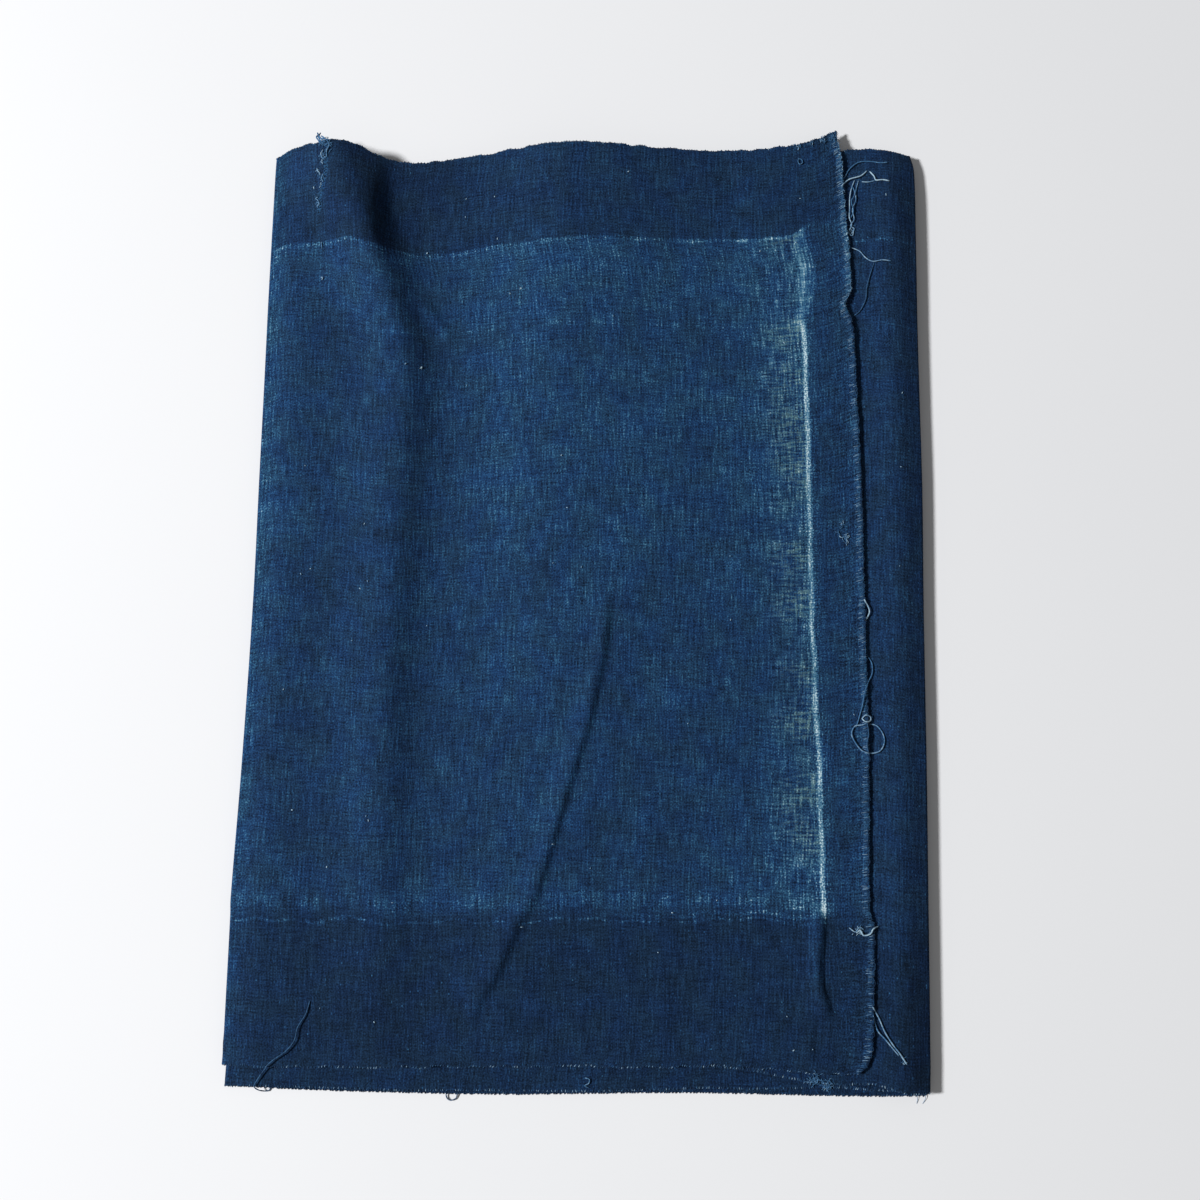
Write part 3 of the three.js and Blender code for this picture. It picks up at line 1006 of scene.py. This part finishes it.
@dataclass
class Threads:
    """Thin round threads gathered into one mesh."""

    name: str
    sides: int = 6
    points: list[np.ndarray] = field(default_factory=list)
    faces: list[tuple[int, ...]] = field(default_factory=list)
    marks: list[tuple[float, float]] = field(default_factory=list)

    def add(self, path: np.ndarray, radius: float | np.ndarray, tint: float) -> None:
        """Adds a thread.

        Args:
            path: The points of its middle, on the page.
            radius: Its radius, the same all along or one for each point.
            tint: From 0, dark, to 1, light.
        """
        radius = np.broadcast_to(radius, len(path))
        heading = unit(np.gradient(path, axis=0))
        steady = np.array([0.31, -0.22, 0.92])
        first = unit(np.cross(heading, steady))
        second = np.cross(heading, first)
        start = len(self.marks)
        ring = []
        for k in range(self.sides):
            turn = 2 * math.pi * k / self.sides
            ring.append(path + radius[:, None] * (math.cos(turn) * first + math.sin(turn) * second))
        self.points.append(np.stack(ring, axis=1).reshape(-1, 3))
        self.marks += [(along, tint) for along in travelled(path) for _ in range(self.sides)]
        for i in range(len(path) - 1):
            for k in range(self.sides):
                a, b = start + i * self.sides + k, start + i * self.sides + (k + 1) % self.sides
                self.faces.append((a, b, b + self.sides, a + self.sides))
        self.faces.append(tuple(start + k for k in reversed(range(self.sides))))
        last = start + (len(path) - 1) * self.sides
        self.faces.append(tuple(last + k for k in range(self.sides)))

    def build(self, material: bpy.types.Material) -> bpy.types.Object:
        """Writes the mesh.

        Args:
            material: Its finish.

        Returns:
            The piece.
        """
        mesh = bpy.data.meshes.new(self.name)
        mesh.from_pydata(STACK.place(np.concatenate(self.points)).tolist(), [], self.faces)
        layer = mesh.uv_layers.new(name="thread")
        write_uv(mesh, layer, np.array(self.marks))
        mesh.polygons.foreach_set("use_smooth", [True] * len(mesh.polygons))
        mesh.materials.append(material)
        piece = bpy.data.objects.new(self.name, mesh)
        bpy.context.scene.collection.objects.link(piece)
        return piece


@dataclass
class ClothSheet:
    """The woven sheet, folded into its layers."""

    rows: int = 184
    fold_steps: int = 6
    top_bands: tuple[Band, ...] = (
        Band(-121.5, -112, 1.2), Band(-112, -36, 1.75), Band(-36, 14, 1.05), Band(14, 74, 2.0),
        Band(74, 100, 1.1), Band(100, 102.5, 0.5),
    )
    lower_bands: dict[Layer, tuple[Band, ...]] = field(default_factory=lambda: {
        Layer.SECOND: (Band(-121.5, 84, 8.5), Band(84, 122.5, 1.5)),
        Layer.THIRD: (Band(-121.5, 122.5, 15.0),),
        Layer.LOWEST: (Band(-121.5, 122.5, 20.0),),
    })

    def columns(self, bands: Sequence[Band]) -> np.ndarray:
        """Places along a layer, as shares of its length.

        Args:
            bands: Stretches of the layer and their steps.

        Returns:
            The shares, from 0 to 1.
        """
        stops = [np.linspace(b.start, b.stop, max(round((b.stop - b.start) / b.step), 1) + 1)[1:] for b in bands]
        places = np.concatenate([[bands[0].start], *stops])
        return (places - places[0]) / (places[-1] - places[0])

    def stations(self) -> tuple[np.ndarray, int]:
        """Every station along the sheet, from the raw edge to the hidden end.

        Returns:
            The points, stations by rows by 3, and the number of the station at the top layer's left end.
        """
        v = np.linspace(0, 1, self.rows + 1)
        turns = np.arange(1, self.fold_steps) / self.fold_steps
        blocks = []
        left_end = 0
        for layer in Layer:
            bands = self.top_bands if layer is Layer.TOP else self.lower_bands[layer]
            q = self.columns(bands)
            if layer in (Layer.TOP, Layer.THIRD):
                q = q[::-1]
            blocks.append(STACK.run(layer, q, v))
            if layer is Layer.TOP:
                left_end = len(q) - 1
            if layer is not Layer.LOWEST:
                blocks.append(STACK.fold(layer, turns, v))
        return np.concatenate(blocks), left_end

    def build(self, material: bpy.types.Material) -> tuple[bpy.types.Object, np.ndarray]:
        """Makes the sheet.

        Args:
            material: Its finish.

        Returns:
            The piece, and its stations.
        """
        points, left_end = self.stations()
        stations, rows = points.shape[:2]
        rim = travelled(points)
        along = rim[left_end] - rim + IndigoCotton.fold_at
        across = np.broadcast_to(np.linspace(0, LOOM_WIDTH, rows), along.shape)
        bpy.ops.object.select_all(action="DESELECT")
        bpy.ops.mesh.primitive_grid_add(x_subdivisions=stations - 1, y_subdivisions=rows - 1, size=2)
        piece = bpy.context.object
        piece.name = piece.data.name = "folded_sheet"
        mesh = piece.data
        grid = np.empty(len(mesh.vertices) * 3)
        mesh.vertices.foreach_get("co", grid)
        grid = grid.reshape(-1, 3)
        i = np.rint((grid[:, 0] + 1) / 2 * (stations - 1)).astype(int)
        j = np.rint((grid[:, 1] + 1) / 2 * (rows - 1)).astype(int)
        mesh.vertices.foreach_set("co", STACK.place(points[i, j]).ravel())
        layer = mesh.uv_layers.active
        layer.name = "cloth"
        write_uv(mesh, layer, np.stack([along[i, j], across[i, j]], axis=1))
        write_uv(mesh, mesh.uv_layers.new(name="rim"), np.stack([rim[i, j], across[i, j]], axis=1))
        mesh.materials.append(material)
        solid = piece.modifiers.new("thickness", "SOLIDIFY")
        solid.thickness = STACK.sheet * MM
        solid.offset = 0.0
        bpy.ops.object.modifier_apply(modifier=solid.name)
        bpy.ops.object.shade_smooth_by_angle(angle=math.radians(50))
        return piece, points


def drawn_through(path: Sequence[Point], step: float) -> np.ndarray:
    """Draws a smooth line through points of the page.

    Args:
        path: The points.
        step: The spacing of the line's own points.

    Returns:
        The line's points, n by 2.
    """
    knots = np.array(path, float)
    knots = np.vstack([2 * knots[0] - knots[1], knots, 2 * knots[-1] - knots[-2]])
    line = []
    for a, b, c, d in zip(knots, knots[1:], knots[2:], knots[3:]):
        count = max(round(float(np.hypot(*(c - b))) / step), 2)
        for t in np.arange(count) / count:
            bend = (2 * a - 5 * b + 4 * c - d) * t**2 + (3 * b - a - 3 * c + d) * t**3
            line.append((2 * b + (c - a) * t + bend) / 2)
    line.append(knots[-2])
    return np.array(line)


@dataclass
class Selvedges:
    """The turns of the weft along the cloth's two woven edges."""

    rng: random.Random
    shown: tuple[tuple[float, float], ...] = ((0.0, 224.0), (405.0, 716.0))
    pitch: float = 1.0
    radius: float = 0.21
    reach: float = 0.5

    def build(self, points: np.ndarray, material: bpy.types.Material) -> bpy.types.Object:
        """Makes the turns.

        Args:
            points: The sheet's stations.
            material: Their finish.

        Returns:
            The piece.
        """
        made = Threads("selvedge_turns", sides=5)
        for edge, inner in ((0, 1), (-1, -2)):
            self.edge(made, points[:, edge], points[:, inner], bright=0.6 if edge == 0 else 0.2)
        return made.build(material)

    def edge(self, made: Threads, rim: np.ndarray, inner: np.ndarray, bright: float) -> None:
        """Adds the turns of one edge.

        Args:
            made: The threads that they join.
            rim: The sheet's points along the edge.
            inner: The next points in from it.
            bright: The share of pale turns.
        """
        run = travelled(rim)
        at = 0.4
        while at < run[-1] - 0.4:
            here = between(at, run, rim)
            inward = unit(between(at, run, inner) - here)
            ahead = unit(between(at + 0.5, run, rim) - here)
            normal = np.cross(inward, ahead)
            half, size = STACK.sheet / 2, self.rng.uniform(0.8, 1.3)
            lean = self.rng.uniform(-0.35, 0.35) * ahead
            path = np.array([
                here + inward * self.reach * size + normal * half * 0.8,
                here + inward * 0.1 + normal * half * 1.1 + lean * 0.5,
                here - inward * 0.2 * size + lean,
                here + inward * 0.1 - normal * half * 1.1 + lean * 0.5,
                here + inward * self.reach * size - normal * half * 0.8,
            ])
            shows = any(start < at < stop for start, stop in self.shown)
            pale = self.rng.random() < (bright if shows else 0.05)
            tint = self.rng.uniform(0.26, 0.74) if pale else self.rng.uniform(-0.05, 0.12)
            swell = self.radius * (self.rng.uniform(0.55, 0.8) if pale else self.rng.uniform(0.8, 1.3))
            made.add(path, swell * np.array([0.5, 0.95, 1.1, 0.95, 0.5]), tint)
            at += self.pitch * self.rng.uniform(0.6, 1.5)


@dataclass
class RawEdge:
    """The frayed cut end of the top layer: short ends of warp, and the weft that lies loose among them."""

    rng: random.Random
    pitch: float = 0.44
    radius: float = 0.105
    notch: float = 262.0

    def build(self, points: np.ndarray, material: bpy.types.Material) -> bpy.types.Object:
        """Makes the fray.

        Args:
            points: The sheet's stations; the first is the raw edge.
            material: Its finish.

        Returns:
            The piece.
        """
        made = Threads("raw_edge_fray", sides=5)
        rim, inner = points[0], points[3]
        across = np.linspace(0, LOOM_WIDTH, len(rim))
        t = 0.5
        while t < LOOM_WIDTH - 0.5:
            self.end_of_warp(made, rim, inner, across, t)
            t += self.pitch * self.rng.uniform(0.6, 1.5)
        for start in np.arange(2.0, LOOM_WIDTH - 8.0, 5.5):
            self.loose_weft(made, rim, inner, across, start)
        return made.build(material)

    def spot(self, rim: np.ndarray, inner: np.ndarray, across: np.ndarray, t: float,
             inward: float, lift: float) -> np.ndarray:
        """A point beside the raw edge.

        Args:
            rim: The points of the edge.
            inner: Points a little way in from it.
            across: The place of each across the loom width.
            t: The wanted place.
            inward: How far in from the edge.
            lift: How far above the sheet's middle.

        Returns:
            The point.
        """
        here, there = between(t, across, rim), between(t, across, inner)
        return here + unit(there - here) * inward + np.array([0, 0, lift])

    def end_of_warp(self, made: Threads, rim: np.ndarray, inner: np.ndarray, across: np.ndarray, t: float) -> None:
        """Adds one short end that sticks out of the edge."""
        upper = t > self.notch
        length = self.rng.uniform(0.2, 1.0) * (1.3 if upper else 0.8)
        back = self.rng.uniform(1.4, 3.0)
        side = self.rng.uniform(-0.55, 0.55)
        top = STACK.sheet / 2
        path = np.array([
            self.spot(rim, inner, across, t, back, top - 0.08),
            self.spot(rim, inner, across, t + 0.3 * side, back * 0.5, top + 0.06),
            self.spot(rim, inner, across, t + 0.6 * side, -0.3 * length, top * 0.6),
            self.spot(rim, inner, across, t + side, -length, -0.4 - 0.5 * self.rng.random()),
        ])
        tint = self.rng.uniform(0.25, 0.72) if upper else self.rng.uniform(0.12, 0.66)
        made.add(path, self.radius * self.rng.uniform(0.7, 1.2) * np.array([0.6, 1.0, 0.9, 0.35]), tint)

    def loose_weft(self, made: Threads, rim: np.ndarray, inner: np.ndarray, across: np.ndarray, t: float) -> None:
        """Adds a stretch of weft that wanders along the edge."""
        upper = t > self.notch
        length = self.rng.uniform(4.0, 9.0)
        count = 9
        path = np.array([
            self.spot(rim, inner, across, min(t + length * k / count, LOOM_WIDTH - 0.3),
                      self.rng.uniform(-0.5, 0.9), STACK.sheet / 2 + self.rng.uniform(-0.1, 0.25))
            for k in range(count + 1)
        ])
        tint = self.rng.uniform(0.3, 0.62) if upper else self.rng.uniform(-0.05, 0.2)
        made.add(path, self.radius * self.rng.uniform(0.8, 1.25), tint)


class Strand(NamedTuple):
    """A loose thread: how high it arches, how thick and pale it is, and where it lies on the page."""

    lift: float
    radius: float
    tint: float
    path: tuple[Point, ...]


STRANDS = table(
    Strand,
    (0.35, 0.22, 0.46, ((94.6, 164), (96.2, 165.6), (98, 168.8), (101.4, 171.5), (105.7, 171.8),
     (109.5, 171.1), (112.5, 171.3))),
    (0.7, 0.24, 0.72, ((94.6, 161.2), (97.5, 164.4), (102.1, 165.9), (104.7, 168.2))),
    (0.45, 0.26, 0.86, ((105.6, 167.8), (107.1, 165.6), (107.7, 163.9), (110.2, 163.9), (112.8, 163.4))),
    (0.35, 0.21, 0.6, ((102.6, 163.8), (105, 163.4), (107.7, 163.9))),
    (0.7, 0.21, 0.68, ((100, 164.6), (98.6, 160.7), (97.9, 156.7), (97.8, 152.7), (97.7, 149.1),
     (98.6, 146.3), (97.4, 143.4), (98.9, 142.2), (99.3, 144.8))),
    (0.55, 0.2, 0.56, ((101.4, 164.4), (100.2, 159.5), (100.2, 156.3), (98.9, 152.3), (99.5, 148.7),
     (98.2, 146.1), (99.6, 144.9), (98.4, 142.8))),
    (0.9, 0.2, 0.45, ((99, 162.4), (99.9, 158.8), (98.5, 155.6), (99.2, 151.6), (97.6, 148))),
    (0.5, 0.21, 0.62, ((98.4, 137.6), (101.4, 136), (103.6, 133.2), (106.2, 131.6), (109.5, 131.9),
     (112.8, 131.4))),
    (0.45, 0.22, 0.2, ((106.8, 131.5), (105, 126.1), (103.8, 121.4), (103.4, 117.1), (101.4, 112.7),
     (99.2, 110.8))),
    (0.9, 0.27, 0.78, ((101.2, 3.2), (102.7, 0.9), (103.2, -1.6), (101.8, -4.6))),
    (0.6, 0.22, 0.42, ((102, -16.6), (103.9, -19.8), (104, -23.4), (102.6, -26.6), (100.9, -30.4),
     (100.1, -35.1), (98.6, -40.8), (97.8, -43.2))),
    (0.55, 0.24, 0.55, ((102.8, -41.7), (105.4, -42.4), (107.4, -45.2), (107.8, -48.4), (106.3, -51.3),
     (103.1, -52.2), (99.9, -51.4), (97.5, -48.6), (96.2, -45.4), (97.4, -42.7), (100, -42.2),
     (102.3, -41.2))),
    (0.7, 0.25, 0.68, ((99.9, -40), (101.2, -38.7), (103.1, -39.2), (103, -40.7), (101.1, -41),
     (99.9, -39.8))),
    (0.3, 0.25, 0.2, ((101.6, -41), (102.3, -45), (101.6, -49), (102.4, -53))),
    (0.5, 0.27, 0.85, ((97.1, -114.8), (98.5, -113.8), (99.5, -115.5), (101.9, -115), (102.9, -113.3),
     (105.1, -112.4))),
    (0.4, 0.22, 0.6, ((94.6, -113), (96.8, -114.4), (98.2, -112.8), (99.8, -113.6))),
    (0.4, 0.26, 0.62, ((102.4, -139.6), (104.6, -143.3), (106.6, -148), (109.3, -152.3), (111.6, -155.2),
     (114, -158.8))),
    (0.6, 0.24, 0.56, ((102.6, -142.6), (104.2, -147.7), (106.6, -150.4), (109.3, -153.6),
     (111.3, -155.9))),
    (0.9, 0.22, 0.2, ((-92.7, -140.7), (-93.9, -145.1), (-96.4, -149.5), (-97.3, -153.8), (-100.2, -157.5),
     (-104.5, -160.6), (-107.4, -163.6), (-110.2, -167.6), (-111.4, -170.2), (-109.6, -171.7),
     (-106.9, -172), (-106.2, -170.8))),
    (0.3, 0.2, 0.2, ((-45.2, -171.4), (-44.9, -173.2), (-43.6, -174.2), (-41.6, -173.4), (-41.2, -171.4))),
    (0.3, 0.08, 0.5, ((118.4, -168.8), (118.8, -171), (118.6, -173))),
    (0.3, 0.08, 0.5, ((121.2, -168.8), (121.6, -171), (120.6, -173))),
    (0.3, 0.19, 0.44, ((78.4, 172), (79.6, 171.6), (79.9, 170.3), (78.9, 169.6), (78.2, 170.6),
     (78.6, 172.4))),
    (0.3, 0.2, 0.5, ((3, -165.6), (4.6, -166), (4.4, -167.4), (3, -168.2), (4.6, -169))),
    (0.6, 0.22, 0.4, ((-103.4, 175.6), (-102.4, 174.2), (-100.2, 173.4), (-97.8, 172.6))),
    (0.3, 0.3, 0.36, ((-99.6, 172.0), (-101.6, 173.6), (-102.9, 175.6), (-103.7, 177.2))),
    (0.4, 0.28, 0.3, ((-100.4, 171.4), (-102.4, 173.6), (-102.8, 175.6), (-102.5, 177.3))),
    (0.3, 0.3, 0.42, ((-101.6, 171.6), (-103.0, 173.6), (-103.8, 175.2), (-103.2, 176.6))),
    (0.3, 0.3, 0.34, ((-98.6, 172.0), (-100.8, 174.2), (-102.0, 175.4))),
    (0.35, 0.22, 0.5, ((-98.4, 172), (-98.4, 170), (-99.2, 168.6), (-99, 166))),
    (0.35, 0.22, 0.58, ((-100.6, 169.4), (-101.4, 167.8), (-100.8, 166), (-99.8, 165.2))),
    (0.3, 0.24, 0.66, ((-103, 162.6), (-102.4, 161.2), (-101.4, 160.2))),
    (0.3, 0.22, 0.5, ((-100.2, 160), (-100.8, 158.2), (-100.2, 156.8))),
    (0.35, 0.19, 0.52, ((-103.4, 151.4), (-102.2, 150.2), (-101.8, 148.6), (-102.9, 148.8))),
    (0.2, 0.2, 0.5, ((-100.8, 135.2), (-100.4, 132.4))),
    (0.25, 0.24, 0.6, ((-100.6, 121.6), (-99.8, 121.4), (-100.2, 120.6))),
)


class Tuft(NamedTuple):
    """A tangle of short fibres: its middle on the page, their number, how far they stray and how pale they are."""

    x: float
    y: float
    count: int
    reach: float
    tint: float


# The torn streak from its tip downwards, the tangle at the foot, the knots of the raw edge, the rubbed corner
# of the top layer, and lint.
TUFTS = table(
    Tuft,
    (-103.1, 175.0, 34, 1.9, 0.34), (-100.2, 173.0, 30, 3.2, 0.26), (-98.5, 170.6, 8, 1.4, 0.4),
    (-100.2, 167.4, 20, 2.2, 0.44), (-100.8, 164.6, 5, 0.9, 0.55), (-102.3, 161.4, 8, 1.5, 0.5),
    (-100.6, 158.6, 12, 1.7, 0.36), (-101.7, 155.8, 4, 0.9, 0.5), (-102.6, 152.8, 8, 1.5, 0.32),
    (-102.7, 149.8, 8, 1.6, 0.38), (82.6, -164.8, 44, 2.3, 0.34), (87.2, -166.4, 44, 2.3, 0.42),
    (98.2, -114.2, 12, 1.8, 0.6), (92.2, 181.6, 34, 2.0, 0.3), (88.0, 179.9, 14, 1.6, 0.36),
    (83.2, 178.3, 9, 1.5, 0.4), (78.2, 177.1, 8, 1.4, 0.4), (98.6, 144.6, 10, 1.5, 0.55),
    (93.5, 30.8, 9, 1.4, 0.5), (94.6, 26.0, 18, 2.2, 0.55), (112.4, -157.0, 5, 1.8, 0.5),
    (99.2, 106.4, 10, 1.4, 0.02), (-61.1, 131.8, 4, 0.45, 0.85), (-61.5, 86.3, 7, 0.5, 0.98),
    (-29.5, 115.6, 4, 0.4, 0.8), (-25.6, 117.1, 4, 0.4, 0.8),
)


@dataclass
class LooseThreads:
    """Stray threads, loops and knots that lie on the folded cloth."""

    rng: random.Random
    step: float = 0.6
    droop: float = 0.3
    flecks: int = 60

    def build(self, material: bpy.types.Material) -> bpy.types.Object:
        """Makes the threads.

        Args:
            material: Their finish.

        Returns:
            The piece.
        """
        made = Threads("loose_threads", sides=6)
        for strand in STRANDS:
            made.add(self.laid(strand), strand.radius * self.uneven(strand), strand.tint)
        for tuft in TUFTS:
            self.tuft(made, tuft)
        for _ in range(self.flecks):
            self.fleck(made)
        return made.build(material)

    def laid(self, strand: Strand) -> np.ndarray:
        """Lays a strand on the cloth, easing it over the steps and letting it droop where it runs off an edge.

        Args:
            strand: The strand.

        Returns:
            The points of its middle.
        """
        line = drawn_through(strand.path, self.step)
        floor = np.array([STACK.top_at(x, y) for x, y in line])
        for ahead in (range(1, len(line)), range(len(line) - 2, -1, -1)):
            for k in ahead:
                if floor[k] <= 0.0:
                    floor[k] = max(floor[k - ahead.step] - self.droop, 0.0)
        floor += strand.radius
        eased = floor.copy()
        for _ in range(3):
            eased[1:-1] = np.maximum(floor[1:-1], (eased[:-2] + eased[1:-1] + eased[2:]) / 3)
        arch = np.sin(np.linspace(0, math.pi, len(line)))
        return np.column_stack([line, eased + strand.lift * arch])

    def uneven(self, strand: Strand) -> np.ndarray:
        """Hand-spun thickness along a strand, thinner at its ends."""
        count = len(drawn_through(strand.path, self.step))
        rough = np.array([self.rng.uniform(0.82, 1.15) for _ in range(count)])
        rough[0], rough[-1] = 0.6, 0.55
        return rough

    def tuft(self, made: Threads, tuft: Tuft) -> None:
        """Adds a tangle of short fibres."""
        for _ in range(tuft.count):
            x, y = (middle + self.rng.gauss(0, tuft.reach / 3) for middle in (tuft.x, tuft.y))
            path = [Point(x, y)]
            turn = self.rng.uniform(0, 2 * math.pi)
            for _ in range(3):
                turn += self.rng.uniform(-1.1, 1.1)
                x, y = x + 0.3 * tuft.reach * math.cos(turn), y + 0.3 * tuft.reach * math.sin(turn)
                path.append(Point(x, y))
            strand = Strand(self.rng.uniform(0.05, 0.35), self.rng.uniform(0.09, 0.15), tuft.tint, tuple(path))
            made.add(self.laid(strand), strand.radius, tuft.tint + self.rng.uniform(-0.15, 0.2))

    def fleck(self, made: Threads) -> None:
        """Adds one bit of lint on the top of the cloth."""
        x, y = self.rng.uniform(-115, 118), self.rng.uniform(-155, 165)
        turn, length = self.rng.uniform(0, math.pi), self.rng.uniform(0.3, 0.9)
        path = (Point(x, y), Point(x + length * math.cos(turn), y + length * math.sin(turn)))
        strand = Strand(0.05, self.rng.uniform(0.12, 0.22), self.rng.uniform(0.45, 0.95), path)
        made.add(self.laid(strand), strand.radius, strand.tint)


@dataclass(frozen=True)
class Studio:
    """The pale floor, the soft light from the left and the camera above."""

    camera_at: tuple[float, float, float] = (5.169, -76.445, 495.0)
    tilt: float = 8.3
    roll: float = 0.9
    focal: float = 1365.0
    frame: float = 1200.0
    sensor: float = 36.0
    key_distance: float = 2.9
    key_elevation: float = 39.0
    key_azimuth: float = 181.0
    key_angle: float = 8.5
    key_power: float = 112.0
    fill: float = 0.187

    def floor(self) -> bpy.types.Object:
        """Lays the floor.

        Returns:
            The floor.
        """
        bpy.ops.object.select_all(action="DESELECT")
        bpy.ops.mesh.primitive_plane_add(size=8.0)
        floor = bpy.context.object
        floor.name = floor.data.name = "floor"
        g = Graph("pale_board")
        place = g.node("ShaderNodeTexCoord").outputs["Object"]
        mottle = g.wire("ShaderNodeTexNoise", None, {"Vector": place, "Scale": 3.0, "Detail": 2.0})
        colour = g.blend(mottle, srgb(232, 233, 236), srgb(236, 237, 239))
        g.feed(g.shader, {"Base Color": colour, "Roughness": 0.8, "Specular IOR Level": 0.1})
        floor.data.materials.append(g.material)
        return floor

    def lights(self) -> None:
        """Hangs the lights."""
        world = bpy.data.worlds.new("studio")
        world.use_nodes = True
        back = world.node_tree.nodes["Background"]
        back.inputs[0].default_value = (1.0, 0.995, 0.985, 1.0)
        back.inputs[1].default_value = self.fill
        bpy.context.scene.world = world
        a, e = math.radians(self.key_azimuth), math.radians(self.key_elevation)
        ray = Vector((math.cos(a) * math.cos(e), math.sin(a) * math.cos(e), math.sin(e)))
        data = bpy.data.lights.new("key", "AREA")
        data.shape = "DISK"
        data.size = 2 * self.key_distance * math.tan(math.radians(self.key_angle / 2))
        data.energy = self.key_power
        key = bpy.data.objects.new("key", data)
        key.location = ray * self.key_distance
        key.rotation_mode = "QUATERNION"
        key.rotation_quaternion = ray.to_track_quat("Z", "Y")
        bpy.context.scene.collection.objects.link(key)

    def camera(self) -> bpy.types.Object:
        """Sets the camera over the page, tilted a little and rolled a little.

        Returns:
            The camera.
        """
        data = bpy.data.cameras.new("camera")
        data.sensor_width = self.sensor
        data.lens = self.focal / self.frame * self.sensor
        data.clip_start, data.clip_end = 0.01, 50.0
        camera = bpy.data.objects.new("camera", data)
        t, r = math.radians(self.tilt), math.radians(self.roll)
        ahead = Vector((0, math.sin(t), -math.cos(t)))
        level = Vector((1, 0, 0))
        upright = Vector((0, math.cos(t), math.sin(t)))
        right = level * math.cos(r) + upright * math.sin(r)
        up = upright * math.cos(r) - level * math.sin(r)
        turn = Matrix((right, up, -ahead)).transposed().to_4x4()
        camera.matrix_world = Matrix.Translation(Vector(self.camera_at) * MM) @ turn
        bpy.context.scene.collection.objects.link(camera)
        bpy.context.scene.camera = camera
        return camera

    def build(self) -> None:
        """Makes the whole studio."""
        scene = bpy.context.scene
        scene.view_settings.view_transform = "Standard"
        scene.view_settings.look = "None"
        self.floor()
        self.lights()
        self.camera()


def main() -> None:
    """Builds the object and the studio, and reports each piece."""
    logging.basicConfig(level=logging.INFO, format="%(name)s: %(message)s")
    Studio().build()
    rng = random.Random(41)
    sheet, points = ClothSheet().build(IndigoCotton().build())
    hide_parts("cloth")
    yarn = Yarn().build()
    edging = [Selvedges(rng).build(points, yarn), RawEdge(rng).build(points, yarn), LooseThreads(rng).build(yarn)]
    for piece in (sheet, *edging):
        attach(piece, "root")
        LOG.info("%s: %d faces", piece.name, len(piece.data.polygons))


if __name__ == "__main__":
    main()
